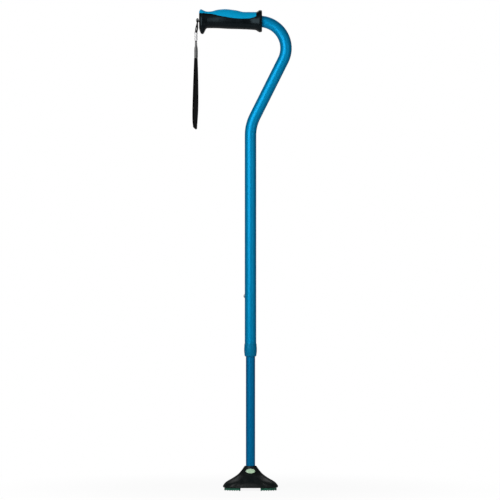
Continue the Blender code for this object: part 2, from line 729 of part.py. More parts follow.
def build_spring(button):
    """Leaf spring folded to a V in the leg. It pushes the button out."""
    front_x = -(BUTTON_BACK - CLEARANCE - SPRING_THICKNESS / 2)
    side = SPRING_WIDTH / 2
    back_x = math.sqrt(LEG_BORE_RADIUS**2 - side**2) - CLEARANCE - SPRING_THICKNESS / 2
    bend_x = back_x - SPRING_BEND_RADIUS
    bend_z = -SPRING_DROP
    line = [(front_x, SPRING_TIP_RISE), (front_x, -SPRING_TIP_RISE)]
    for angle in spread(math.pi, math.tau, 8):
        x = bend_x + SPRING_BEND_RADIUS * math.cos(angle)
        z = bend_z + SPRING_BEND_RADIUS * math.sin(angle)
        line.append((x, z))
    line.append((back_x, SPRING_TIP_RISE))
    outline = strip_outline([Vector(point) for point in line], SPRING_THICKNESS)
    spring = prism([(x, -side, z) for x, z in outline], (0.0, SPRING_WIDTH, 0.0))
    add_piece("button_spring", spring, button, "steel")


def strip_outline(line, thickness):
    """The outline of a strip of even thickness along a line of 2D points."""
    near, far = [], []
    for i, point in enumerate(line):
        ahead = line[min(i + 1, len(line) - 1)] - point
        behind = point - line[max(i - 1, 0)]
        ahead = ahead.normalized() if ahead.length else behind.normalized()
        behind = behind.normalized() if behind.length else ahead
        way = (ahead + behind).normalized()
        square = Vector((-way.y, way.x))
        half = thickness / 2 / max(0.5, way.dot(ahead))
        near.append(point + half * square)
        far.append(point - half * square)
    return near + far[::-1]


# Foot


def rounded_rectangle(half_length, half_depth, exponent, height, sides=FOOT_SIDES):
    """A ring between an ellipse, exponent 2, and a rectangle, a high exponent."""
    ring = []
    for i in range(sides):
        angle = math.tau * i / sides
        x = math.copysign(abs(math.cos(angle)) ** (2 / exponent), math.cos(angle))
        y = math.copysign(abs(math.sin(angle)) ** (2 / exponent), math.sin(angle))
        ring.append(Vector((half_length * x, half_depth * y, height)))
    return ring


def foot_half_depth(out):
    """Half the foot's depth where its flank is this share of the way out to the toe."""
    return FOOT_RIM_RADIUS + out * (FOOT_HALF_DEPTH - FOOT_RIM_RADIUS)


def foot_rings():
    """Rings of the foot's outside, from rim to hem."""
    rings = []
    for down, out, exponent in FOOT_ROWS:
        height = FOOT_HEIGHT - down * (FOOT_HEIGHT - FOOT_BOTTOM)
        half_length = FOOT_RIM_RADIUS + out * (FOOT_HALF_LENGTH - FOOT_RIM_RADIUS)
        rings.append(rounded_rectangle(half_length, foot_half_depth(out), exponent, height))
    return rings


def front_face_at(height):
    """How far the front of the foot stands from the leg's axis at a height."""
    down = (FOOT_HEIGHT - height) / (FOOT_HEIGHT - FOOT_BOTTOM)
    for (above, above_out, _), (below, below_out, _) in zip(FOOT_ROWS, FOOT_ROWS[1:]):
        if above <= down <= below:
            share = (down - above) / (below - above)
            return foot_half_depth(above_out + share * (below_out - above_out))
    return FOOT_HALF_DEPTH


def badge_frame():
    """The badge's place: its middle on the front of the foot, with +Z square to the face."""
    middle = Vector((0.0, -front_face_at(BADGE_Z), BADGE_Z))
    reach = 0.4 * BADGE_HEIGHT
    flare = front_face_at(BADGE_Z - reach) - front_face_at(BADGE_Z + reach)
    tilt = math.atan2(2 * reach, flare)
    return Matrix.Translation(middle) @ Matrix.Rotation(tilt, 4, "X")


def oval(width, height, bottom, top):
    """An upright oval plate, wide along X."""
    rings = [rounded_rectangle(width / 2, height / 2, 2.0, z, TUBE_SIDES) for z in (bottom, top)]
    return lofted(rings)


def build_foot(shaft):
    """Moulded rubber foot: four toes with a hollow between them, and the leg's socket."""
    foot = add_piece("foot_shell", lofted(foot_rings()), shaft, "foot black")
    boss_width = BADGE_WIDTH + 2 * BADGE_MARGIN
    boss_height = BADGE_HEIGHT + 2 * BADGE_MARGIN
    boss = oval(boss_width, boss_height, -BADGE_HEIGHT / 2, BADGE_BOSS_PROUD)
    boss.transform(badge_frame())
    combine(foot, add_tool("badge_boss", boss, shaft), "UNION")
    socket = turned(rod_profile(LEG_RADIUS + CLEARANCE, SOCKET_BOTTOM, 2 * FOOT_HEIGHT))
    combine(foot, add_tool("socket_cutter", socket, shaft), "DIFFERENCE")
    along_length = box(
        (-(FOOT_HALF_LENGTH - 2 * SKIRT_WALL), -(SOLE_INNER_Y - SKIRT_WALL), 0.0),
        (FOOT_HALF_LENGTH - 2 * SKIRT_WALL, SOLE_INNER_Y - SKIRT_WALL, FOOT_BOTTOM + HOLLOW_DEPTH),
    )
    combine(foot, add_tool("long_hollow_cutter", along_length, shaft), "DIFFERENCE")
    along_depth = box(
        (-(SOLE_INNER_X - SKIRT_WALL), -(FOOT_HALF_DEPTH - SKIRT_WALL), 0.0),
        (SOLE_INNER_X - SKIRT_WALL, FOOT_HALF_DEPTH - SKIRT_WALL, FOOT_BOTTOM + HOLLOW_DEPTH),
    )
    combine(foot, add_tool("deep_hollow_cutter", along_depth, shaft), "DIFFERENCE")


def build_washer(shaft):
    """Steel washer in the socket, which the leg's end bears on."""
    bottom = SOCKET_BOTTOM + CLEARANCE
    profile = ring_profile(WASHER_HOLE_RADIUS, LEG_RADIUS, bottom, bottom + WASHER_THICKNESS)
    add_piece("foot_washer", turned(profile), shaft, "steel")


def build_badge(shaft):
    """Blank pale oval badge on the foot's front."""
    bottom = BADGE_BOSS_PROUD + CLEARANCE
    plate = oval(BADGE_WIDTH, BADGE_HEIGHT, bottom, bottom + BADGE_THICKNESS)
    plate.transform(badge_frame())
    add_piece("foot_badge", plate, shaft, "badge green")


def sole_outline():
    """One sole pad's outline seen from above, for the toe towards +X and +Y."""
    half_length = FOOT_HALF_LENGTH - SOLE_INSET
    half_depth = FOOT_HALF_DEPTH - SOLE_INSET
    exponent = FOOT_ROWS[-1][2]
    hem = []
    for angle in spread(0.0, math.pi / 2, 60):
        x = half_length * max(math.cos(angle), 0.0) ** (2 / exponent)
        y = half_depth * max(math.sin(angle), 0.0) ** (2 / exponent)
        if x > SOLE_INNER_X and y > SOLE_INNER_Y:
            hem.append((x, y))
    outline = [(SOLE_INNER_X, SOLE_INNER_Y), (hem[0][0], SOLE_INNER_Y)]
    outline += hem[1:-1:4]
    outline.append((SOLE_INNER_X, hem[-1][1]))
    return outline


def upright_corners(bm):
    """The upright edges at the corners of an extruded outline."""
    found = []
    for edge in bm.edges:
        rise = abs(edge.verts[0].co.z - edge.verts[1].co.z)
        if rise > WELD and edge.calc_face_angle(0.0) > math.radians(40):
            found.append(edge)
    return found


def build_soles(shaft):
    """Four green sole pads, one under each toe, with tread grooves from front to back."""
    step = (FOOT_HALF_LENGTH - SOLE_INSET - SOLE_INNER_X) / (TREAD_GROOVES + 1)
    for x_name, x_side in (("left", -1), ("right", 1)):
        for y_name, y_side in (("near", -1), ("far", 1)):
            outline = [(x_side * x, y_side * y, 0.0) for x, y in sole_outline()]
            pad = prism(outline, (0.0, 0.0, SOLE_THICKNESS))
            bmesh.ops.bevel(
                pad,
                geom=upright_corners(pad),
                offset=SOLE_CORNER,
                segments=3,
                profile=0.5,
                affect="EDGES",
                clamp_overlap=True,
            )
            name = f"{y_name}_{x_name}"
            piece = add_piece(f"sole_pad_{name}", pad, shaft, "sole green")
            grooves = []
            for groove in range(TREAD_GROOVES):
                x = x_side * (SOLE_INNER_X + step * (groove + 1))
                grooves.append(
                    box(
                        (x - TREAD_GROOVE_WIDTH / 2, -FOOT_HALF_DEPTH, -TREAD_GROOVE_DEPTH),
                        (x + TREAD_GROOVE_WIDTH / 2, FOOT_HALF_DEPTH, TREAD_GROOVE_DEPTH),
                    )
                )
            tool = add_tool(f"tread_cutter_{name}", gathered(grooves), shaft)
            combine(piece, tool, "DIFFERENCE")


# Wrist strap


def build_cord(eye):
    """Thin cord looped through the eye, its two ends going into the crimp."""
    curve = bpy.data.curves.new("strap_cord", "CURVE")
    curve.dimensions = "3D"
    curve.bevel_depth = CORD_DIAMETER / 2
    curve.bevel_resolution = 2
    curve.use_fill_caps = True
    route = smooth_route([Vector(point) * MM for point in CORD_ROUTE], 3)
    spline = curve.splines.new("POLY")
    spline.points.add(len(route) - 1)
    for point, spot in zip(spline.points, route):
        point.co = (*spot, 1.0)
    place("strap_cord", curve, eye, "black cord")


def smooth_route(points, steps):
    """Points on a smooth curve through the route's own points, a few to each stretch."""
    ends = [2 * points[0] - points[1], *points, 2 * points[-1] - points[-2]]
    route = []
    for a, b, c, d in zip(ends, ends[1:], ends[2:], ends[3:]):
        for i in range(steps):
            t = i / steps
            route.append(
                0.5
                * (
                    2 * b
                    + (c - a) * t
                    + (2 * a - 5 * b + 4 * c - d) * t**2
                    + (3 * b - a - 3 * c + d) * t**3
                )
            )
    return [*route, points[-1]]


def build_crimp(eye):
    """Bright metal barrel that clamps the cord's two ends."""
    bottom = CRIMP_TOP - CRIMP_LENGTH
    edge = CRIMP_RADIUS / 4
    profile = [
        (0.0, bottom),
        (CRIMP_RADIUS - edge, bottom),
        (CRIMP_RADIUS, bottom + edge),
        (CRIMP_RADIUS, CRIMP_TOP - edge),
        (CRIMP_RADIUS - edge, CRIMP_TOP),
        (0.0, CRIMP_TOP),
    ]
    bm = turned(profile, SMALL_SIDES)
    bm.transform(Matrix.Translation((STRAP_X, 0.0, 0.0)))
    add_piece("cord_crimp", bm, eye, "bright metal")


def build_swivel(strap):
    """Small black swivel pin between the crimp and the sleeve."""
    head = 0.45 * SWIVEL_LENGTH
    collar = 0.25 * SWIVEL_LENGTH
    bottom = SWIVEL_TOP - SWIVEL_LENGTH
    profile = [
        (0.0, bottom),
        (SWIVEL_HEAD_RADIUS - CLEARANCE, bottom),
        (SWIVEL_HEAD_RADIUS - CLEARANCE, bottom + collar),
        (SWIVEL_NECK_RADIUS, bottom + collar),
        (SWIVEL_NECK_RADIUS, SWIVEL_TOP - head),
        (SWIVEL_HEAD_RADIUS, SWIVEL_TOP - 0.8 * head),
        (SWIVEL_HEAD_RADIUS, SWIVEL_TOP - 0.2 * head),
        (SWIVEL_NECK_RADIUS, SWIVEL_TOP),
        (0.0, SWIVEL_TOP),
    ]
    add_piece("strap_swivel", turned(profile, SMALL_SIDES), strap, "black nylon")


def rectangle(middle, half_width, half_thickness):
    """The four corners of a rectangle."""
    return [
        middle - half_width - half_thickness,
        middle + half_width - half_thickness,
        middle + half_width + half_thickness,
        middle - half_width + half_thickness,
    ]


def build_sleeve(strap):
    """Grey tapered sleeve that the webbing's two ends are sewn into."""
    turn = Matrix.Rotation(math.radians(WEBBING_ROWS[0][4]), 3, "Z")
    rings = []
    for share, width, thickness in SLEEVE_ROWS:
        middle = Vector((0.0, 0.0, SLEEVE_TOP - share * SLEEVE_LENGTH))
        across = turn @ Vector((width * MM / 2, 0.0, 0.0))
        square = turn @ Vector((0.0, thickness * MM / 2, 0.0))
        rings.append(rectangle(middle, across, square))
    add_piece("strap_sleeve", lofted(rings), strap, "grey nylon")


def webbing_section(row, around):
    """A rectangle across the webbing: around is 0 on one layer, pi on the other.

    Between them it goes round the fold at the bottom.
    """
    drop, drift, apart, width = (value * MM for value in row[:4])
    turn, lean = (math.radians(value) for value in row[4:])
    frame = Matrix.Rotation(turn, 3, "Z") @ Matrix.Rotation(lean, 3, "Y")
    outward = frame @ Vector((0.0, math.cos(around), -math.sin(around)))
    middle = Vector((drift, 0.0, WEBBING_TOP - drop)) + apart * outward
    across = frame @ Vector((width / 2, 0.0, 0.0))
    return rectangle(middle, across, WEBBING_THICKNESS / 2 * outward)


def build_webbing(strap):
    """Black webbing loop for the wrist, from one layer's top round the fold to the other's."""
    fold = spread(0.0, math.pi, FOLD_STEPS)[1:-1]
    rings = [webbing_section(row, 0.0) for row in WEBBING_ROWS]
    rings += [webbing_section(WEBBING_ROWS[-1], around) for around in fold]
    rings += [webbing_section(row, math.pi) for row in reversed(WEBBING_ROWS)]
    add_piece("strap_webbing", lofted(rings), strap, "black webbing")


def main():
    """Build every piece from the floor up, each carried by the empty on its axis."""
    clear_scene()
    shaft = add_empty("shaft_axis", (SHAFT_X, 0.0, 0.0))
    button = add_empty("button_axis", (0.0, 0.0, BUTTON_Z), shaft, -STOPS_TURNED_BACK)
    collar = add_empty("collar_axis", (0.0, 0.0, 0.0), shaft)
    handle = add_empty("handle_axis", (0.0, 0.0, GRIP_AXIS_Z), shaft)
    eye = add_empty("eye_axis", (EYE_X, 0.0, EYE_RISE), handle)
    strap = add_empty("swivel_axis", (STRAP_X, 0.0, 0.0), eye)
    build_upper_tube(shaft, button)
    build_grip(handle)
    build_end_plug(handle)
    build_strap_eye(handle)
    build_end_bush(shaft)
    build_clamp_ring(collar)
    build_lock_collar(collar)
    build_leg(shaft, button)
    build_button(button)
    build_spring(button)
    build_foot(shaft)
    build_washer(shaft)
    build_badge(shaft)
    build_soles(shaft)
    build_cord(eye)
    build_crimp(eye)
    build_swivel(strap)
    build_sleeve(strap)
    build_webbing(strap)


main()
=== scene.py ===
"""Offset quad cane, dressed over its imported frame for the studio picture.

Everything is in metres in the frame's own axes: +Z up, -X the way the handle points, -Y the
side that the badge faces. WristStrap, Tubes, HeightLock, Grip and Foot are the sub-assemblies.
Their fields are their real sizes, and their methods model their pieces and finish them.
"""

from __future__ import annotations

import json
import logging
import math
from collections.abc import Callable, Iterator, Mapping, Sequence
from contextlib import contextmanager
from dataclasses import dataclass
from enum import Enum
from typing import Any, NamedTuple

import bmesh
import bpy
import numpy as np
from mathutils import Matrix, Vector


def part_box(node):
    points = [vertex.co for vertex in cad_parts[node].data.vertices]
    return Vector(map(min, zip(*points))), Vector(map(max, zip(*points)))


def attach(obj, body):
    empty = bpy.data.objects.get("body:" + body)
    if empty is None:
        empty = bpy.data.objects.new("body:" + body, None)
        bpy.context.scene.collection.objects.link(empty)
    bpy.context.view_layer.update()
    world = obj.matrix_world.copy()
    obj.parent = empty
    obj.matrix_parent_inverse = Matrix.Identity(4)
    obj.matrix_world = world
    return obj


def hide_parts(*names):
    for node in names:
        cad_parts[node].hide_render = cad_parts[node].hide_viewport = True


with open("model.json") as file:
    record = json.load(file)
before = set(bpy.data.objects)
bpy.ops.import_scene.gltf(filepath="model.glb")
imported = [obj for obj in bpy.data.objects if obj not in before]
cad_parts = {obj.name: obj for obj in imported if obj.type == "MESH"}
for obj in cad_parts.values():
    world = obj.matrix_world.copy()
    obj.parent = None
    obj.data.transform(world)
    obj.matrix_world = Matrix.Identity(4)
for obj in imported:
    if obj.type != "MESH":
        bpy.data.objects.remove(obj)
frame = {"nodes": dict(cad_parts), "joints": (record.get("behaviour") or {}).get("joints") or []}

MM = 0.001
WELD = 2e-6
CLEARANCE = 0.3 * MM
PLUMB = (0.0, 0.0, 1.0)
QUARTER = math.pi / 2

log = logging.getLogger("cane")

Colour = tuple[float, float, float]
Point = Sequence[float]


# Curves, sections and places


def eased(knots: Sequence[float], values: Sequence[float], places: np.ndarray) -> np.ndarray:
    """Read a smooth curve through known values, which never overshoots them.

    Args:
        knots: Where the values are known, in rising order.
        values: The known values.
        places: Where to read the curve.

    Returns:
        The curve's value at each place.
    """
    x, y = np.asarray(knots, float), np.asarray(values, float)
    step = np.diff(x)
    slope = np.diff(y) / step
    tangent = np.zeros_like(y)
    tangent[0], tangent[-1] = slope[0], slope[-1]
    for i in range(1, len(x) - 1):
        before, after = slope[i - 1], slope[i]
        if before * after > 0:
            near, far = 2 * step[i] + step[i - 1], step[i] + 2 * step[i - 1]
            tangent[i] = (near + far) / (near / before + far / after)
    i = np.clip(np.searchsorted(x, places, side="right") - 1, 0, len(x) - 2)
    t = (np.asarray(places, float) - x[i]) / step[i]
    start = (1 + 2 * t) * (1 - t) ** 2 * y[i] + t * (1 - t) ** 2 * step[i] * tangent[i]
    end = t * t * (3 - 2 * t) * y[i + 1] + t * t * (t - 1) * step[i] * tangent[i + 1]
    return start + end


def refined(rows: Sequence[Sequence[float]], steps: int) -> np.ndarray:
    """Fill in a table's rows with smooth ones between them.

    Args:
        rows: The table, one row of numbers after another.
        steps: How many rows take the place of each gap.

    Returns:
        The finer table, which still holds the given rows.
    """
    known = np.arange(len(rows), dtype=float)
    places = np.linspace(0, len(rows) - 1, (len(rows) - 1) * steps + 1)
    return np.stack([eased(known, column, places) for column in zip(*rows)], axis=1)


def smooth_route(points: Sequence[Vector], steps: int) -> list[Vector]:
    """Lay a smooth curve through a route's own points.

    Args:
        points: The route.
        steps: How many points take the place of each stretch.

    Returns:
        The finer route, from the first point to the last.
    """
    ends = [2 * points[0] - points[1], *points, 2 * points[-1] - points[-2]]
    route = []
    for a, b, c, d in zip(ends, ends[1:], ends[2:], ends[3:]):
        for i in range(steps):
            t = i / steps
            square = (2 * a - 5 * b + 4 * c - d) * t**2
            cube = (3 * b - a - 3 * c + d) * t**3
            route.append(0.5 * (2 * b + (c - a) * t + square + cube))
    return [*route, points[-1]]


def route_length(points: Sequence[Vector]) -> float:
    """The length of a line of points."""
    return sum((b - a).length for a, b in zip(points, points[1:]))


def even_ring(outline: np.ndarray, count: int) -> np.ndarray:
    """Spread points evenly round a closed outline.

    Args:
        outline: The outline's points, the first one not repeated.
        count: How many steps go round it.

    Returns:
        The points, with the first one repeated at the end.
    """
    closed = np.vstack([outline, outline[:1]])
    reach = np.concatenate([[0.0], np.cumsum(np.linalg.norm(np.diff(closed, axis=0), axis=1))])
    places = np.linspace(0.0, reach[-1], count + 1)
    return np.stack([np.interp(places, reach, column) for column in closed.T], axis=1)


def ring_section(
    bore: float, outer: float, low: float, high: float, edge: float, flange: Point = ()
) -> list[Point]:
    """One side of the section through a ring with broken outer edges, for the lathe.

    Args:
        bore: The radius of its hole.
        outer: Its own radius.
        low: Where it starts along its axis.
        high: Where it ends.
        edge: How much of its outer edges is broken off.
        flange: The radius and the end of the flange that it starts with, if it has one.

    Returns:
        The section's points, as distance from the axis and place along it.
    """
    foot = flange[0] if flange else outer
    shoulder = [tuple(flange), (outer, flange[1])] if flange else []
    start = [(bore, low), (foot - edge, low), (foot, low + edge)]
    return [*start, *shoulder, (outer, high - edge), (outer - edge, high), (bore, high)]


@dataclass(frozen=True)
class Extent:
    """The box of one of the frame's nodes."""

    low: Vector
    high: Vector

    @classmethod
    def of(cls, node: str) -> Extent:
        """Read a node's box from the frame."""
        return cls(*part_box(node))

    @property
    def middle(self) -> Vector:
        """The middle of the box."""
        return (self.low + self.high) / 2

    @property
    def tall(self) -> float:
        """How tall the box is."""
        return self.high.z - self.low.z


@dataclass(frozen=True)
class TubeStock:
    """The tubes' own sizes, which the pieces on and in them share."""

    upper: float = 11.9 * MM
    leg: float = 9.525 * MM
    wall: float = 1.2 * MM
    handle_bend: float = 55.5 * MM
    sides: int = 96

    @property
    def on_leg(self) -> float:
        """The bore's radius in a piece that goes on the leg."""
        return self.leg + CLEARANCE

    @property
    def on_upper(self) -> float:
        """The bore's radius in a piece that goes on the upper tube."""
        return self.upper + CLEARANCE


STOCK = TubeStock()


def button_outwards() -> Vector:
    """The way that the button looks out of the tubes."""
    joint = next(joint for joint in frame["joints"] if joint["name"] == "button_press")
    return -Vector(joint["axis"]).normalized()


# Modelling


class Pick(Enum):
    """What edit mode selects."""

    POINTS = "VERT"
    FACES = "FACE"


class Bench:
    """One mesh on the workbench, shaped with Blender's own modelling tools."""

    def __init__(self, piece: bpy.types.Object) -> None:
        """Take a mesh object on the bench."""
        self.piece = piece

    @classmethod
    def start(cls, name: str, add: Callable[..., Any], **sizes: Any) -> Bench:
        """Add a primitive with nothing else selected, and put its place in its mesh.

        Args:
            name: The new object's name.
            add: The operator that adds the primitive.
            sizes: The operator's own settings.

        Returns:
            The bench with the new mesh on it.
        """
        bpy.ops.object.select_all(action="DESELECT")
        add(**sizes)
        piece = bpy.context.active_object
        piece.name = piece.data.name = name
        bpy.ops.object.transform_apply(location=True, rotation=True, scale=True)
        return cls(piece)

    @classmethod
    def rod(
        cls, name: str, sides: int, radius: float, length: float, middle: Point, **more: Any
    ) -> Bench:
        """Add a cylinder, upright unless more of the operator's settings turn or scale it."""
        sizes = {"vertices": sides, "radius": radius, "depth": length, "location": middle, **more}
        return cls.start(name, bpy.ops.mesh.primitive_cylinder_add, **sizes)

    @classmethod
    def drawn(cls, name: str, points: Sequence[Point], closed: bool) -> Bench:
        """Draw a line by extruding one point from place to place.

        Args:
            name: The new object's name.
            points: Where the line goes.
            closed: Whether the last point is joined to the first.

        Returns:
            The bench with the line on it.
        """
        spots = [Vector(point) for point in points]
        bench = cls.start(name, bpy.ops.mesh.primitive_plane_add, size=MM, location=spots[0])
        with bench.editing(whole=True):
            bpy.ops.mesh.merge(type="CENTER")
            for here, there in zip(spots, spots[1:]):
                bpy.ops.mesh.extrude_vertices_move(TRANSFORM_OT_translate={"value": there - here})
            if closed:
                ends = (spots[0], spots[-1])
                bench.select(lambda spot, _: min((spot - end).length for end in ends) < WELD)
                bpy.ops.mesh.edge_face_add()
        return bench

    @classmethod
    def turned(
        cls, name: str, profile: Sequence[Point], axis: Vector, sides: int, closed: bool = True
    ) -> Bench:
        """Draw a profile and spin it round an upright axis, as on a lathe.

        Args:
            name: The new object's name.
            profile: The profile's points, as distance from the axis and height.
            axis: A point on the axis.
            sides: How many steps the full turn takes.
            closed: Whether the profile is a ring. An open one ends on the axis.

        Returns:
            The bench with the turned piece on it.
        """
        bench = cls.drawn(name, [(axis.x + out, axis.y, up) for out, up in profile], closed)
        with bench.editing(whole=True):
            bench.spin(axis, PLUMB, math.tau, sides)
        bench.tidy()
        return bench

    @classmethod
    def skinned(cls, name: str, surface: Sequence[Sequence[Point]]) -> Bench:
        """Lay a grid primitive on a surface, and close it where its edges meet.

        Args:
            name: The new object's name.
            surface: The surface's rows of points, each row from start to end.

        Returns:
            The bench with the skin on it, its UV map running along the rows and up them.
        """
        along, across = len(surface) - 1, len(surface[0]) - 1
        grid = {"x_subdivisions": across, "y_subdivisions": along, "size": 1.0}
        bench = cls.start(name, bpy.ops.mesh.primitive_grid_add, **grid)
        for vertex in bench.piece.data.vertices:
            column = round((vertex.co.x + 0.5) * across)
            row = round((vertex.co.y + 0.5) * along)
            vertex.co = surface[row][column]
        bench.tidy()
        return bench

    def take(self) -> None:
        """Select this piece alone and make it the active one."""
        bpy.ops.object.select_all(action="DESELECT")
        self.piece.select_set(True)
        bpy.context.view_layer.objects.active = self.piece

    @contextmanager
    def editing(self, pick: Pick = Pick.POINTS, whole: bool = False) -> Iterator[None]:
        """Edit this mesh alone.

        Args:
            pick: Whether points or faces are selected.
            whole: Whether all of it is selected at the start, or nothing.

        Yields:
            Nothing, with the mesh in edit mode.
        """
        self.take()
        bpy.ops.object.mode_set(mode="EDIT")
        bpy.ops.mesh.select_mode(type=pick.value)
        bpy.ops.mesh.select_all(action="SELECT" if whole else "DESELECT")
        yield
        bpy.ops.object.mode_set(mode="OBJECT")

    def select(self, test: Callable[[Vector, Vector], bool], pick: Pick = Pick.POINTS) -> None:
        """Select what passes a test of its place and normal, in edit mode.

        Args:
            test: Takes a place and a normal.
            pick: Whether points or faces are tested.
        """
        shape = bmesh.from_edit_mesh(self.piece.data)
        for items in (shape.faces, shape.edges, shape.verts):
            for item in items:
                item.select = False
        if pick is Pick.FACES:
            for face in shape.faces:
                face.select_set(test(face.calc_center_median(), face.normal))
        else:
            for vertex in shape.verts:
                vertex.select_set(test(vertex.co, vertex.normal))
            shape.select_flush(True)
        bmesh.update_edit_mesh(self.piece.data)

    def extrude(self, move: Point) -> None:
        """Extrude the selected edges by a move."""
        bpy.ops.mesh.extrude_edges_move(TRANSFORM_OT_translate={"value": Vector(move)})

    def spin(self, centre: Point, axis: Point, angle: float, steps: int) -> None:
        """Spin what is selected round an axis by the right-hand rule, the tool's own turned."""
        bpy.ops.mesh.spin(steps=steps, angle=-angle, center=tuple(centre), axis=tuple(axis))

    def tidy(self) -> None:
        """Close seams and poles, and turn every face outwards."""
        with self.editing(whole=True):
            bpy.ops.mesh.remove_doubles(threshold=WELD)
            bpy.ops.mesh.dissolve_degenerate(threshold=WELD / 2)
            bpy.ops.mesh.select_all(action="SELECT")
            bpy.ops.mesh.normals_make_consistent(inside=False)

    def modify(self, kind: str, **settings: Any) -> None:
        """Add a modifier and apply it.

        Args:
            kind: The modifier's type.
            settings: The modifier's own settings.
        """
        modifier = self.piece.modifiers.new(kind.title(), kind)
        for name, value in settings.items():
            setattr(modifier, name, value)
        self.take()
        bpy.ops.object.modifier_apply(modifier=modifier.name)

    def round_edges(self, width: float, segments: int, sharper: float) -> None:
        """Round the edges that are sharper than so many degrees."""
        limit = math.radians(sharper)
        self.modify("BEVEL", width=width, segments=segments, limit_method="ANGLE", angle_limit=limit)

    def combine(self, tool: Bench, operation: str = "DIFFERENCE") -> None:
        """Cut a tool out with DIFFERENCE, or join it on with UNION, and remove the tool."""
        self.modify("BOOLEAN", operation=operation, object=tool.piece, solver="EXACT")
        bpy.data.objects.remove(tool.piece, do_unlink=True)

    def cut_row(self, tool: Bench, count: int, step: Point) -> None:
        """Cut out a tool and its copies.

        Args:
            tool: The first tool of the row.
            count: How many there are, with the first.
            step: The way from one to the next.
        """
        tools = [tool]
        for place in range(1, count):
            move = Matrix.Translation([place * value for value in step])
            tools.append(tool.copied(f"{tool.piece.name}_{place}", move))
        for tool in tools:
            self.combine(tool)

    def copied(self, name: str, change: Matrix) -> Bench:
        """Copy this mesh to another place or side, as an object of its own.

        Args:
            name: The copy's name.
            change: How the copy is moved or mirrored.

        Returns:
            The bench with the copy on it.
        """
        twin = self.piece.copy()
        twin.data = self.piece.data.copy()
        twin.name = twin.data.name = name
        twin.data.transform(change)
        bpy.context.scene.collection.objects.link(twin)
        bench = Bench(twin)
        if change.is_negative:
            bench.tidy()
        return bench

    def finish(
        self, finish: Finish, body: str, slot: str, *nodes: str, crease: float = 35.0, flats: bool = False
    ) -> bpy.types.Object:
        """Smooth the mesh, dress it and put it on its body.

        Args:
            finish: What the surface is made of.
            body: The frame's body that the piece moves with.
            slot: The record's material slot; not used.
            nodes: The frame's nodes that the piece stands for.
            crease: Edges sharper than this many degrees stay sharp.
            flats: Whether its flat faces stay flat beside their rounded edges.

        Returns:
            The finished object.
        """
        self.take()
        bpy.ops.object.shade_smooth_by_angle(angle=math.radians(crease))
        if flats:
            self.modify("WEIGHTED_NORMAL", keep_sharp=True)
        materials = self.piece.data.materials
        if not materials:
            materials.append(None)
        materials[0] = finish.material()
        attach(self.piece, body)
        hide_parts(*nodes)
        log.info("%s: %d faces, on %s", self.piece.name, len(self.piece.data.polygons), body)
        return self.piece


def dress_node(node: str, finish: Finish) -> None:
    """Give one of the frame's own nodes a finish.

    Args:
        node: The node, whose own shape is right as it is.
        finish: What its surface is made of.
    """
    piece = frame["nodes"][node]
    if not piece.material_slots:
        piece.data.materials.append(None)
    for slot in piece.material_slots:
        slot.material = finish.material()
    log.info("%s: dressed as %s", node, finish.name)


# Materials


def plug(value: Any, socket: bpy.types.NodeSocket) -> None:
    """Give a socket its value.

    Args:
        value: A Term, which is linked to it, or a colour or a number, which is set on it.
        socket: The node's socket.
    """
    if isinstance(value, Term):
        socket.id_data.links.new(value.socket, socket)
    elif socket.type == "RGBA":
        socket.default_value = (*value, 1.0)
    else:
        socket.default_value = value


@dataclass(frozen=True)
class Term:
    """One value in a material. Python's operators on it add Math nodes."""

    socket: bpy.types.NodeSocket

    def math(self, operation: str, *values: Term | float) -> Term:
        """Add a Math node to this value's material.

        Args:
            operation: What the node works out.
            values: What it works on, in order.

        Returns:
            The result.
        """
        node = self.socket.id_data.nodes.new("ShaderNodeMath")
        node.operation = operation
        for value, socket in zip(values, node.inputs):
            plug(value, socket)
        return Term(node.outputs[0])

    def __add__(self, other: Term | float) -> Term:
        """Sum."""
        return self.math("ADD", self, other)

    def __sub__(self, other: Term | float) -> Term:
        """Difference."""
        return self.math("SUBTRACT", self, other)

    def __rsub__(self, other: float) -> Term:
        """Difference from a number."""
        return self.math("SUBTRACT", other, self)

    def __mul__(self, other: Term | float) -> Term:
        """Product."""
        return self.math("MULTIPLY", self, other)

    __radd__, __rmul__ = __add__, __mul__

    def wave(self) -> Term:
        """A wave from nothing to one and back, once in each unit."""
        return 0.5 - 0.5 * self.math("COSINE", math.tau * self)

    def larger(self, other: Term | float) -> Term:
        """The larger of two values."""
        return self.math("MAXIMUM", self, other)


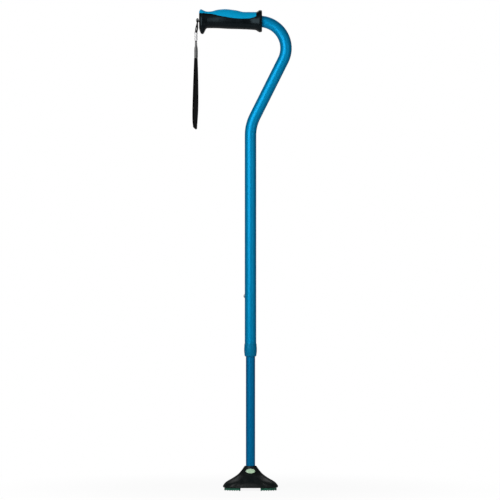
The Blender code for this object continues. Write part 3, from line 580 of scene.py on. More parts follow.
class Recipe:
    """The nodes of one material, or of the world."""

    # The places of a Mix node's own sockets for colours.
    MIX_SHARE, MIX_FIRST, MIX_SECOND, MIX_RESULT = 0, 6, 7, 2

    def __init__(self, owner: str | bpy.types.World) -> None:
        """Start with no nodes.

        Args:
            owner: The name of a new material, or the world.
        """
        self.owner = bpy.data.materials.new(owner) if isinstance(owner, str) else owner
        self.owner.use_nodes = True
        self.tree = self.owner.node_tree
        self.tree.nodes.clear()

    def add(
        self,
        kind: str,
        values: Mapping[str | int, Any] | None = None,
        out: str | int = 0,
        **settings: Any,
    ) -> Term:
        """Add a shader node.

        Args:
            kind: The node's type, without its prefix.
            values: A number, a colour or a Term for each socket, by name or place.
            out: Which of its outputs is wanted.
            settings: The node's own settings, set first.

        Returns:
            The output.
        """
        node = self.tree.nodes.new(f"ShaderNode{kind}")
        for name, value in settings.items():
            setattr(node, name, value)
        for name, value in (values or {}).items():
            plug(value, node.inputs[name])
        return Term(node.outputs[out])

    def end(self, shader: Term) -> None:
        """Link the shader of the whole surface, or of the world, to the output."""
        kind = "World" if isinstance(self.owner, bpy.types.World) else "Material"
        plug(shader, self.tree.nodes.new(f"ShaderNodeOutput{kind}").inputs["Surface"])

    def shade(self, values: Mapping[str, Any]) -> bpy.types.Material:
        """End the material with a Principled shader that takes these values."""
        self.end(self.add("BsdfPrincipled", values))
        return self.owner

    def place(self) -> Term:
        """Where a point of the object is, in metres."""
        return self.add("TexCoord", out="Object")

    def map_axis(self, axis: str) -> Term:
        """How far along or up the piece's own UV map a point is, from 0 to 1."""
        return self.add("SeparateXYZ", {0: self.add("TexCoord", out="UV")}, axis)

    def noise(self, size: float, detail: float = 2.0, stretch: Point = (1, 1, 1)) -> Term:
        """Cloudy noise from 0 to 1.

        Args:
            size: How large its clouds are, in metres.
            detail: How many finer layers it has.
            stretch: How much longer the clouds are along each axis.

        Returns:
            The noise.
        """
        scale = [1 / (size * value) for value in stretch]
        spot = self.add("Mapping", {"Vector": self.place(), "Scale": scale})
        return self.add("TexNoise", {"Vector": spot, "Scale": 1.0, "Detail": detail})

    def cells(self, size: float, out: str = "Distance") -> Term:
        """Small cells, read as the distance from their middles or as a random colour."""
        return self.add("TexVoronoi", {"Vector": self.place(), "Scale": 1 / size}, out)

    def mix(self, share: Term | float, first: Term | Colour, second: Term | Colour) -> Term:
        """Mix two colours, from the first at 0 to the second at 1."""
        values = {self.MIX_SHARE: share, self.MIX_FIRST: first, self.MIX_SECOND: second}
        return self.add("Mix", values, self.MIX_RESULT, data_type="RGBA", clamp_factor=True)

    def step(self, value: Term, low: float, high: float) -> Term:
        """A soft step from 0 at low to 1 at high."""
        values = {"Value": value, "From Min": low, "From Max": high}
        return self.add("MapRange", values, interpolation_type="SMOOTHSTEP")

    def bump(self, height: Term, depth: float) -> Term:
        """Relief from a height between 0 and 1, so many metres deep."""
        return self.add("Bump", {"Height": height, "Distance": depth})


@dataclass(frozen=True)
class Finish:
    """What a surface is made of. Each kind below builds its own nodes."""

    name: str
    colour: Colour

    def material(self) -> bpy.types.Material:
        """The finish as a material, made once."""
        return bpy.data.materials.get(self.name) or self.build()

    def build(self) -> bpy.types.Material:
        """Make the material."""
        raise NotImplementedError


@dataclass(frozen=True)
class MetallicCoat(Finish):
    """Metallic paint on aluminium: fine flakes in a satin lacquer with a little orange peel."""

    shadow: Colour = (0.0, 0.0, 0.0)
    metallic: float = 0.65
    roughness: float = 0.45

    def build(self) -> bpy.types.Material:
        """Make the material.

        Returns:
            The material, mottled by its flakes and by a broad drift along the tube.
        """
        recipe = Recipe(self.name)
        flakes = recipe.add("SeparateColor", {0: recipe.cells(0.30 * MM, "Color")})
        drift = recipe.noise(26 * MM, 3.0, (1, 1, 3))
        peel = recipe.noise(1.8 * MM, 1.0)
        scuffs = recipe.step(recipe.noise(0.5 * MM, 4.0, (1, 1, 20)), 0.62, 0.74)
        tone = 0.70 + 0.18 * flakes + 0.16 * drift
        values = {
            "Base Color": recipe.mix(tone, self.shadow, self.colour),
            "Metallic": self.metallic,
            "Roughness": self.roughness + 0.04 * drift + 0.05 * scuffs,
            "Specular Tint": (0.06, 0.36, 0.48),
            "Coat Weight": 0.05,
            "Coat Roughness": 0.25,
            "Normal": recipe.bump(peel, 0.002 * MM),
        }
        return recipe.shade(values)


@dataclass(frozen=True)
class MouldedRubber(Finish):
    """Moulded rubber: a fine grain, soft patches of sheen and a little rubbed-in dust."""

    dust: Colour = (0.05, 0.05, 0.05)
    dusting: float = 0.3
    roughness: float = 0.38
    grain: float = 0.9 * MM
    relief: float = 0.02 * MM
    gloss: float = 0.35
    # A colour on the rubber's reflections; other than white it paints in the colour of things reflected
    # in it.
    painted_reflection_tint: Colour = (1.0, 1.0, 1.0)

    def build(self) -> bpy.types.Material:
        """Make the material.

        Returns:
            The material, dusty on top of its grain and in soft patches.
        """
        recipe = Recipe(self.name)
        pebble = recipe.cells(self.grain)
        fine = recipe.noise(self.grain / 3, 3.0)
        patches = recipe.step(recipe.noise(14 * MM, 4.0), 0.45, 0.75)
        worn = self.dusting * (0.35 * (1 - pebble) + 0.65 * patches)
        values = {
            "Base Color": recipe.mix(worn, self.colour, self.dust),
            "Roughness": self.roughness + 0.1 * fine + 0.08 * patches,
            "Specular IOR Level": self.gloss,
            "Specular Tint": self.painted_reflection_tint,
            "Normal": recipe.bump(pebble + 0.4 * fine, self.relief),
        }
        return recipe.shade(values)


@dataclass(frozen=True)
class Nylon(Finish):
    """Moulded nylon: smooth, faintly mottled and a little waxy."""

    roughness: float = 0.42
    flow: Point = (1, 1, 1)

    def build(self) -> bpy.types.Material:
        """Make the material.

        Returns:
            The material, clouded the way the nylon flowed.
        """
        recipe = Recipe(self.name)
        cloud = recipe.noise(5 * MM, 3.0, self.flow)
        skin = recipe.noise(0.5 * MM, 2.0)
        darker = tuple(0.72 * value for value in self.colour)
        values = {
            "Base Color": recipe.mix(cloud, darker, self.colour),
            "Roughness": self.roughness + 0.12 * (cloud - 0.5) + 0.05 * skin,
            "Normal": recipe.bump(skin, 0.01 * MM),
        }
        return recipe.shade(values)


@dataclass(frozen=True)
class PlatedMetal(Finish):
    """Plated or bare metal with turning marks round its axis and fine scratches."""

    roughness: float = 0.3
    metallic: float = 1.0
    marks: float = 0.25 * MM

    def build(self) -> bpy.types.Material:
        """Make the material.

        Returns:
            The material, ringed by the turning tool and faintly stained.
        """
        recipe = Recipe(self.name)
        rings = recipe.noise(self.marks, 2.0, (40, 40, 1))
        stain = recipe.noise(2.5 * MM, 3.0)
        dull = tuple(0.7 * value for value in self.colour)
        values = {
            "Base Color": recipe.mix(0.6 * rings + 0.5 * stain, dull, self.colour),
            "Metallic": self.metallic,
            "Roughness": self.roughness + 0.12 * rings + 0.08 * stain,
            "Normal": recipe.bump(rings, 0.006 * MM),
        }
        return recipe.shade(values)


@dataclass(frozen=True)
class Woven(Finish):
    """Textile that follows its piece's UV map: crossing threads with fuzz on them."""

    threads: float = 20.0
    picks: float = 300.0
    slant: float = 0.0
    # The colour of the thread crowns: a painted highlight, with painted shade left in the dips between
    # threads.
    light: Colour = (0.05, 0.05, 0.05)
    relief: float = 0.12 * MM

    def build(self) -> bpy.types.Material:
        """Make the material.

        Returns:
            The material, each thread dipping under the ones that cross it.
        """
        recipe = Recipe(self.name)
        across = self.threads * recipe.map_axis("X")
        along = self.picks * recipe.map_axis("Y")
        warp = (across + self.slant * along).wave()
        weft = (along - self.slant * across).wave()
        weave = (warp * (1 - 0.7 * weft)).larger(weft * (1 - 0.7 * warp))
        fuzz = recipe.noise(0.25 * MM, 3.0)
        # The weave's height paints the crowns lighter and the dips darker, a painted highlight and
        # painted shade of the relief; the fuzz adds random fibre tone.
        values = {
            "Base Color": recipe.mix(weave * (0.35 + 0.65 * fuzz), self.colour, self.light),
            "Roughness": 0.72 + 0.2 * fuzz,
            "Specular IOR Level": 0.13,
            "Sheen Weight": 0.015,
            "Sheen Roughness": 0.5,
            "Normal": recipe.bump(weave + 0.25 * fuzz, self.relief),
        }
        return recipe.shade(values)


@dataclass(frozen=True)
class Enamel(Finish):
    """Glossy printed plate: a faintly clouded colour under a clear coat."""

    cloudy: Colour = (0.1, 0.3, 0.15)

    def build(self) -> bpy.types.Material:
        """Make the material.

        Returns:
            The material, with a slow ripple in its coat.
        """
        recipe = Recipe(self.name)
        cloud = recipe.noise(3 * MM, 2.0)
        ripple = recipe.noise(1.2 * MM, 1.0)
        values = {
            "Base Color": recipe.mix(0.25 * cloud, self.colour, self.cloudy),
            "Roughness": 0.28 + 0.1 * cloud,
            "Coat Weight": 0.4,
            "Coat Roughness": 0.1,
            "Normal": recipe.bump(ripple, 0.01 * MM),
        }
        return recipe.shade(values)


UPPER_BLUE = MetallicCoat("upper_blue_coat", (0.0, 0.25, 0.50), (0.0, 0.07, 0.19))
LEG_BLUE = MetallicCoat("leg_blue_coat", (0.0, 0.172, 0.40), (0.0, 0.042, 0.13), 0.68, 0.38)
COLLAR_BLUE = MetallicCoat("collar_blue_coat", (0.0, 0.18, 0.36), (0.0, 0.055, 0.145), 0.45, 0.5)
PALM_BLUE = MouldedRubber(
    "palm_blue_rubber", (0.0, 0.27, 0.51), (0.0, 0.33, 0.55), 0.2, 0.5, 0.8 * MM, 0.015 * MM, 0.05
)
# Its reflections are tinted blue, a painted reflection of the blue tube beside it.
GRIP_BLACK = MouldedRubber(
    "grip_black_rubber", (0.0007, 0.0012, 0.0017), (0.002, 0.0028, 0.0034),
    roughness=0.2, relief=0.009 * MM, gloss=0.17, painted_reflection_tint=(0.62, 0.88, 1.0),
)
FOOT_BLACK = MouldedRubber(
    "foot_black_rubber", (0.0032, 0.0050, 0.0050), (0.010, 0.0135, 0.0135),
    roughness=0.28, grain=1.1 * MM, relief=0.012 * MM, gloss=0.14,
)
SOLE_GREEN = MouldedRubber(
    "sole_green_rubber", (0.010, 0.105, 0.062), (0.03, 0.17, 0.11), 0.4, 0.6, 0.7 * MM
)
BLACK_NYLON = Nylon("black_nylon", (0.006, 0.006, 0.007))
WHITE_NYLON = Nylon("white_nylon", (0.62, 0.62, 0.59))
EYE_GREY = Nylon("eye_grey_nylon", (0.085, 0.09, 0.09))
SLEEVE_GREY = Nylon("sleeve_grey_nylon", (0.13, 0.13, 0.13), 0.34, (1, 1, 6))
NICKEL = PlatedMetal("crimp_nickel", (0.66, 0.66, 0.67), 0.34, 0.55)
BUTTON_STEEL = PlatedMetal("button_steel", (0.34, 0.35, 0.37), 0.26, 0.9)
SPRING_STEEL = PlatedMetal("spring_steel", (0.36, 0.37, 0.40), 0.34)
WASHER_ZINC = PlatedMetal("washer_zinc", (0.56, 0.57, 0.58), 0.36)
BARE_ALUMINIUM = PlatedMetal("bare_aluminium", (0.70, 0.72, 0.74), 0.34)
# The last colour of each weave is the painted highlight on its thread crowns.
CORD_BLACK = Woven("cord_black_braid", (0.002, 0.002, 0.003), 8.0, 45.0, 0.5, (0.02, 0.02, 0.02))
WEBBING_BLACK = Woven("webbing_black_weave", (0.001, 0.001, 0.0015), 22.0, 380.0, 0.0, (0.010,) * 3)
BADGE_PALE = Enamel("badge_pale_enamel", (0.39, 0.57, 0.37), (0.30, 0.48, 0.31))
BADGE_RIM = Enamel("badge_rim_enamel", (0.008, 0.03, 0.015), (0.004, 0.018, 0.009))


# Studio


@dataclass
class Studio:
    """The camera, the pale floor and the soft lights.

    The camera's place comes from the photograph: its scale at the shaft, the shaft's column,
    the floor's row and its middle, in pixels.
    """

    shaft: Vector
    scale: float = 2.0707 * MM
    shaft_column: float = 250.5
    floor_row: float = 489.6
    middle_pixel: float = 250.0
    distance: float = 7.5
    sensor: float = 36.0
    floor_size: float = 24.0
    floor_drop: float = 0.05 * MM
    lit_height: float = 0.5
    ambient: float = 0.28
    mirrored: float = 0.26
    mirrored_less: float = 0.19

    # Each soft box: its name, where it stands, its width and height, and its power in watts.
    LIGHTS = (
        ("key_light", (-0.52, -0.92, 0.92), (0.72, 1.1), 10.5),
        ("fill_light", (0.92, -1.05, 0.80), (0.7, 1.0), 2.6),
        ("top_light", (-0.1, -1.3, 2.1), (1.9, 1.3), 3.2),
        ("back_light", (0.0, 1.35, 1.75), (1.5, 1.1), 7.0),
    )

    def build(self) -> None:
        """Set up the whole studio."""
        self.add_camera()
        self.add_floor()
        self.add_world()
        for light in self.LIGHTS:
            self.add_light(*light)
        bpy.context.scene.view_settings.view_transform = "Standard"

    def add_camera(self) -> None:
        """Add the camera, level, from the photograph's own scale at the shaft."""
        data = bpy.data.cameras.new("studio_camera")
        data.sensor_fit = "HORIZONTAL"
        data.sensor_width = self.sensor
        data.lens = self.sensor * self.distance / (2 * self.middle_pixel * self.scale)
        data.clip_end = 50.0
        camera = bpy.data.objects.new("studio_camera", data)
        across = self.shaft.x + (self.middle_pixel - self.shaft_column) * self.scale
        up = (self.floor_row - self.middle_pixel) * self.scale
        camera.location = (across, -self.distance, up)
        camera.rotation_euler = (QUARTER, 0.0, 0.0)
        bpy.context.scene.collection.objects.link(camera)
        bpy.context.scene.camera = camera

    def add_floor(self) -> None:
        """Add the pale floor, white to the camera but for a faint shadow round the foot."""
        plane = {"size": self.floor_size, "location": (0.0, 0.0, -self.floor_drop)}
        bench = Bench.start("studio_floor", bpy.ops.mesh.primitive_plane_add, **plane)
        recipe = Recipe("floor_white")
        seen = recipe.add("LightPath", out="Is Camera Ray")
        off = recipe.add("VectorMath", {0: recipe.place()}, "Value", operation="LENGTH")
        glow_share = seen * (0.90 + 0.10 * recipe.step(off, 0.12, 0.65))
        paint = recipe.add("BsdfDiffuse", {"Color": (0.78, 0.78, 0.78)})
        glow = recipe.add("Emission", {"Strength": 1.0})
        recipe.end(recipe.add("MixShader", {0: glow_share, 1: paint, 2: glow}))
        bench.piece.data.materials.append(recipe.owner)

    def add_world(self) -> None:
        """Add the surroundings: white to the camera, grey as light, dim behind in reflections."""
        recipe = Recipe(bpy.data.worlds.new("studio_world"))
        way = recipe.add("TexCoord", out="Generated")
        depth = recipe.add("SeparateXYZ", {0: way}, "Y")
        seen, through, gloss = (
            recipe.add("LightPath", out=f"Is {ray} Ray") for ray in ("Camera", "Transmission", "Glossy")
        )
        mirrored = self.mirrored - self.mirrored_less * recipe.step(depth, -0.6, 0.7)
        white = seen.larger(through)
        level = white + (1 - white) * (gloss * mirrored + (1 - gloss) * self.ambient)
        recipe.end(recipe.add("Background", {"Color": (1, 1, 1), "Strength": level}))
        bpy.context.scene.world = recipe.owner

    def add_light(self, name: str, spot: Point, size: tuple[float, float], power: float) -> None:
        """Add a soft box that faces the middle of the cane.

        Args:
            name: The light's name.
            spot: Where it stands.
            size: Its width and height.
            power: Its power in watts.
        """
        data = bpy.data.lights.new(name, "AREA")
        data.shape = "RECTANGLE"
        data.size, data.size_y = size
        data.energy = power
        light = bpy.data.objects.new(name, data)
        light.visible_camera = False
        light.location = spot
        aim = Vector((self.shaft.x, 0.0, self.lit_height)) - Vector(spot)
        light.rotation_euler = aim.to_track_quat("-Z", "Y").to_euler()
        bpy.context.scene.collection.objects.link(light)


# Wrist strap


@dataclass
class WristStrap:
    """Cord, crimp, swivel, sleeve and webbing loop that hang from the handle's eye."""

    eye: Vector
    cord: float = 2.7 * MM
    cord_sides: int = 16
    strap_drift: float = -3.0 * MM
    crimp_radius: float = 3.0 * MM
    bead_radius: float = 2.4 * MM
    pin_radius: float = 1.1 * MM
    sleeve_bore: float = 2.8 * MM
    webbing_thickness: float = 1.2 * MM

    # The middle of the cord from the eye, in millimetres.
    CORD_ROUTE = (
        (-4.3, -0.4, -26.2), (-4.35, -0.6, -24.7), (-3.75, -1.1, -22.0), (-3.35, -1.8, -18.5),
        (-3.15, -2.4, -16.2), (-2.6, -3.0, -13.8), (-1.8, -3.6, -11.0), (-1.0, -4.1, -8.0),
        (-0.4, -4.3, -5.0), (-0.1, -3.7, -1.9), (0.0, -2.2, -0.5), (0.0, -0.7, 0.0),
        (0.0, 0.7, 0.0), (0.0, 2.2, -0.5), (0.0, 3.7, -1.9), (-0.1, 4.3, -5.0),
        (-0.1, 4.1, -8.0), (0.0, 3.6, -11.0), (0.2, 3.0, -13.8), (0.15, 2.4, -16.2),
        (-0.4, 1.8, -18.5), (-1.05, 1.1, -22.0), (-1.65, 0.6, -24.7), (-1.7, 0.4, -26.2),
    )
    # Distance from the axis and height, as shares of the crimp's radius and its height.
    CRIMP_OUTLINE = (
        (0.0, 0.0), (0.62, 0.0), (0.86, 0.02), (0.97, 0.06), (1.0, 0.12), (1.0, 0.20),
        (0.90, 0.25), (0.88, 0.36), (0.90, 0.43), (1.0, 0.48), (1.0, 0.55), (0.90, 0.60),
        (0.88, 0.72), (0.90, 0.79), (1.0, 0.84), (1.03, 0.90), (1.04, 0.97), (1.03, 0.99),
        (1.0, 1.0), (0.97, 0.99), (0.95, 0.97), (0.95, 0.90), (0.0, 0.90),
    )
    # Distance below the neck, width and thickness of the sleeve, in millimetres.
    SLEEVE_ROWS = (
        (0.0, 3.8, 3.8), (0.5, 4.6, 4.6), (5.0, 4.8, 4.8), (7.5, 5.4, 4.8), (10.0, 6.7, 4.7),
        (12.5, 7.8, 4.6), (15.5, 8.4, 4.6), (20.0, 8.6, 4.6), (31.0, 8.6, 4.6),
        (31.8, 8.4, 4.4), (32.2, 7.8, 3.9),
    )
    # Drop, drift, half the space between the layers and width, in millimetres, then turn and
    # lean in degrees.
    WEBBING_ROWS = (
        (0.0, -0.3, 1.1, 8.6, 52.0, 0.0), (14.0, -0.3, 1.6, 9.4, 56.0, 0.0),
        (30.0, -0.4, 2.1, 10.0, 56.0, 0.0), (53.0, -0.6, 2.6, 10.2, 51.0, 0.0),
        (78.0, -0.9, 3.1, 10.2, 46.0, 0.0), (103.0, -1.4, 3.3, 10.2, 37.0, 0.0),
        (118.0, -1.8, 3.0, 10.2, 42.0, 2.0), (128.0, -2.1, 2.5, 10.2, 46.0, 7.0),
        (136.5, -2.2, 2.1, 10.1, 52.0, 16.0), (143.5, -2.0, 1.8, 9.9, 56.0, 26.0),
    )

    @property
    def strap_axis(self) -> Vector:
        """A point on the upright line that the strap hangs on."""
        return self.eye + Vector((self.strap_drift, 0.0, 0.0))

    def build(self) -> None:
        """Model the strap from the eye down."""
        crimp = self.build_crimp()
        self.build_cord()
        swivel = self.build_swivel()
        sleeve = self.build_sleeve()
        self.build_webbing()

    def build_cord(self) -> None:
        """Thin braided cord, from the crimp up through the eye and back.
        """
        route = smooth_route([self.eye + Vector(point) * MM for point in self.CORD_ROUTE], 6)
        turns = [math.tau * i / self.cord_sides for i in range(self.cord_sides + 1)]
        rings = [[route[0]] * len(turns)]
        side = Vector((1.0, 0.0, 0.0))
        for before, middle, after in zip([route[0], *route], route, [*route[1:], route[-1]]):
            way = (after - before).normalized()
            side = (side - side.dot(way) * way).normalized()
            square = way.cross(side)
            ring = [math.cos(turn) * side + math.sin(turn) * square for turn in turns]
            rings.append([middle + self.cord / 2 * spoke for spoke in ring])
        rings.append([route[-1]] * len(turns))
        bench = Bench.skinned("loop_cord", rings)
        cord = bench.finish(CORD_BLACK, "strap_top", "black_cord", "strap_cord", crease=60.0)
        route_length(route)

    def build_crimp(self) -> bpy.types.Object:
        """Bright barrel, pressed in two bands, with a mouth that the cord's ends go into.

        Returns:
            The finished crimp.
        """
        box = Extent.of("cord_crimp")
        outline = self.CRIMP_OUTLINE
        profile = [(self.crimp_radius * out, box.low.z + box.tall * up) for out, up in outline]
        bench = Bench.turned("nickel_crimp", profile, box.middle, sides=40, closed=False)
        return bench.finish(NICKEL, "strap_top", "bright_crimp", "cord_crimp", crease=50.0)

    def build_swivel(self) -> bpy.types.Object:
        """Small black bead on a pin, which lets the strap turn.

        Returns:
            The finished pin.
        """
        box = Extent.of("strap_swivel")
        neck, steps, bead_start, bead_share = self.pin_radius, 12, 0.51, 0.47
        outline = [(0.0, 0.0), (0.8 * neck, 0.0), (neck, 0.03), (neck, 0.5)]
        for i in range(steps + 1):
            swell = (self.bead_radius - neck) * math.sin(math.pi * i / steps) ** 0.5
            outline.append((neck + swell, bead_start + bead_share * i / steps))
        outline += [(0.7 * neck, 1.0), (0.0, 1.0)]
        profile = [(out, box.low.z + box.tall * up) for out, up in outline]
        bench = Bench.turned("swivel_pin", profile, box.middle, sides=32, closed=False)
        return bench.finish(BLACK_NYLON, "strap", "black_nylon", "strap_swivel", crease=50.0)

    def build_sleeve(self) -> bpy.types.Object:
        """Grey tapered sleeve with a round neck, which the pin turns in, and an oblong foot.

        Returns:
            The finished sleeve.
        """
        box = Extent.of("strap_sleeve")
        axis, bore = self.strap_axis, self.sleeve_bore
        turn = Matrix.Rotation(math.radians(self.WEBBING_ROWS[0][4]), 3, "Z")
        neck = box.low.z + self.SLEEVE_ROWS[-1][0] * MM
        sections = [(box.high.z, 0.0, 0.0), (box.high.z, bore, bore), (neck, bore, bore)]
        for drop, width, thickness in refined(self.SLEEVE_ROWS, 5):
            sections.append((neck - drop * MM, width * MM, thickness * MM))
        sections.append((box.low.z, 0.0, 0.0))
        rings = []
        for level, width, thickness in sections:
            spots = [turn @ Vector((x, y, 0.0)) for x, y in self.oblong(width, thickness, 48)]
            rings.append([(axis.x + spot.x, axis.y + spot.y, level) for spot in spots])
        bench = Bench.skinned("tapered_sleeve", rings)
        return bench.finish(SLEEVE_GREY, "strap", "grey_sleeve", "strap_sleeve", crease=50.0)

    @staticmethod
    def oblong(width: float, thickness: float, count: int) -> list[tuple[float, float]]:
        """A ring round a section: a circle, or flat with round edges where it is wide.

        Args:
            width: How wide the section is.
            thickness: How thick it is.
            count: How many steps go round it.

        Returns:
            The ring's points, the first one repeated at the end.
        """
        flat = min(1.0, (width - thickness) / max(0.6 * thickness, WELD))
        ring = []
        for i in range(count + 1):
            turn = math.tau * i / count
            across, up = math.cos(turn), math.sin(turn)
            x = math.copysign(abs(across) ** (1 - 0.5 * flat), across) * width / 2
            y = math.copysign(abs(up) ** (1 - 0.4 * flat), up) * thickness / 2
            ring.append((x, y))
        return ring

    def webbing_ring(self, row: Sequence[float], around: float) -> tuple[list[Vector], Vector]:
        """One section across the webbing.

        Args:
            row: What a row of WEBBING_ROWS says.
            around: 0 on one layer, pi on the other, and between them round the fold.

        Returns:
            The section's points, and its middle.
        """
        drop, drift, apart, width = (value * MM for value in row[:4])
        turn, lean = (math.radians(value) for value in row[4:])
        way = Matrix.Rotation(turn, 3, "Z") @ Matrix.Rotation(lean, 3, "Y")
        outward = way @ Vector((0.0, math.cos(around), -math.sin(around)))
        axis = self.strap_axis
        top = Extent.of("strap_sleeve").low.z - CLEARANCE
        middle = Vector((axis.x + drift, axis.y, top - drop)) + apart * outward
        across = way @ Vector((1.0, 0.0, 0.0))
        section = self.oblong(width, self.webbing_thickness, 24)
        return [middle + x * across + y * outward for x, y in section], middle

    def build_webbing(self) -> None:
        """Flat woven loop for the wrist: one layer down, round the fold and the other up.
        """
        rows = refined(self.WEBBING_ROWS, 6).tolist()
        fold = np.linspace(0.0, math.pi, 13)[1:-1].tolist()
        sections = [self.webbing_ring(row, 0.0) for row in rows]
        sections += [self.webbing_ring(rows[-1], around) for around in fold]
        sections += [self.webbing_ring(row, math.pi) for row in rows[::-1]]
        rings = [ring for ring, _ in sections]
        path = [middle for _, middle in sections]
        caps = [[end] * len(rings[0]) for end in (path[0], path[-1])]
        bench = Bench.skinned("wrist_webbing", [caps[0], *rings, caps[1]])
        loop = bench.finish(WEBBING_BLACK, "strap", "black_webbing", "strap_webbing", crease=60.0)
        route_length(path)


# Tubes and height lock


@dataclass
class Tubes:
    """The bent upper tube and the leg that slides in it."""

    shaft: Vector
    grip_axis: float
    slant: float = math.radians(26.6)
    lower_bend: float = 87.0 * MM
    handle_rise: float = 215.4 * MM
    leg_edge: float = 0.35 * MM
    hole_radius: float = 4.05 * MM
    stops: int = 10
    stop_pitch: float = 25.0 * MM

    @property
    def bend_start(self) -> float:
        """Where along X the upper bend starts."""
        overhang = self.handle_rise * math.tan(self.slant)
        return self.shaft.x + overhang - STOCK.handle_bend * math.tan((QUARTER + self.slant) / 2)

    def build(self) -> None:
        """Model both tubes."""
        self.build_upper_tube()
        self.build_leg()

    def build_upper_tube(self) -> None:
        """Circle at the handle's end, drawn on round both bends and down to the lower end."""
        box = Extent.of("upper_tube")
        bench = Bench.start(
            "bent_tube",
            bpy.ops.mesh.primitive_circle_add,
            vertices=STOCK.sides,
            radius=STOCK.upper,
            location=(box.low.x, 0.0, self.grip_axis),
            rotation=(0.0, QUARTER, 0.0),
        )
        turn = QUARTER + self.slant
        upper = Vector((self.bend_start, 0.0, self.grip_axis - STOCK.handle_bend))
        corner = self.grip_axis - self.handle_rise
        lower_z = corner - self.lower_bend * math.tan(self.slant / 2)
        lower = Vector((self.shaft.x + self.lower_bend, 0.0, lower_z))
        start = lower + self.lower_bend * Vector((-math.cos(self.slant), 0, math.sin(self.slant)))
        end = upper + STOCK.handle_bend * Vector((math.sin(turn), 0, math.cos(turn)))
        with bench.editing(whole=True):
            bench.extrude((self.bend_start - box.low.x, 0.0, 0.0))
            bench.spin(upper, (0.0, 1.0, 0.0), turn, 60)
            bench.extrude(start - end)
            bench.spin(lower, (0.0, 1.0, 0.0), -self.slant, 18)
            bench.extrude((0.0, 0.0, box.low.z - lower_z))
            bpy.ops.mesh.select_all(action="SELECT")
            bpy.ops.mesh.normals_make_consistent(inside=False)
        bench.modify("SOLIDIFY", thickness=STOCK.wall, offset=-1.0, use_even_offset=True)
        self.drill(bench, self.stops, STOCK.upper)
        bench.finish(UPPER_BLUE, "upper", "blue_metallic", "upper_tube")

    def build_leg(self) -> None:
        """Straight leg tube with rolled ends and the button's hole."""
        box = Extent.of("leg_tube")
        inner = STOCK.leg - STOCK.wall
        section = ring_section(inner, STOCK.leg, box.low.z, box.high.z, self.leg_edge)
        bench = Bench.turned("lower_leg", section, self.shaft, STOCK.sides)
        self.drill(bench, 1, STOCK.leg)
        bench.finish(LEG_BLUE, "base", "blue_leg", "leg_tube")

    def drill(self, bench: Bench, count: int, radius: float) -> None:
        """Drill the row of stop holes, and dress their walls as bare metal.

        Args:
            bench: The tube.
            count: How many holes go up from the button.
            radius: The tube's outer radius.
        """
        out = button_outwards()
        height = Extent.of("snap_button").middle.z
        middle = Vector((self.shaft.x, 0.0, height)) + out * radius
        turn = out.to_track_quat("Z", "Y").to_euler()
        drill = Bench.rod("stop_drill", 40, self.hole_radius, radius, middle, rotation=turn)
        bench.cut_row(drill, count, (0.0, 0.0, self.stop_pitch))
        materials = bench.piece.data.materials
        materials.append(None)
        materials.append(BARE_ALUMINIUM.material())
        for face in bench.piece.data.polygons:
            spot = face.center - self.shaft
            stop = round((spot.z - height) / self.stop_pitch)
            across = spot.cross(out)
            off = math.hypot(across.z, spot.z - height - stop * self.stop_pitch)
            near = 0 <= stop < count and off < self.hole_radius and spot.dot(out) > 0
            if near and abs(face.normal.dot(out)) < 0.5:
                face.material_index = 1


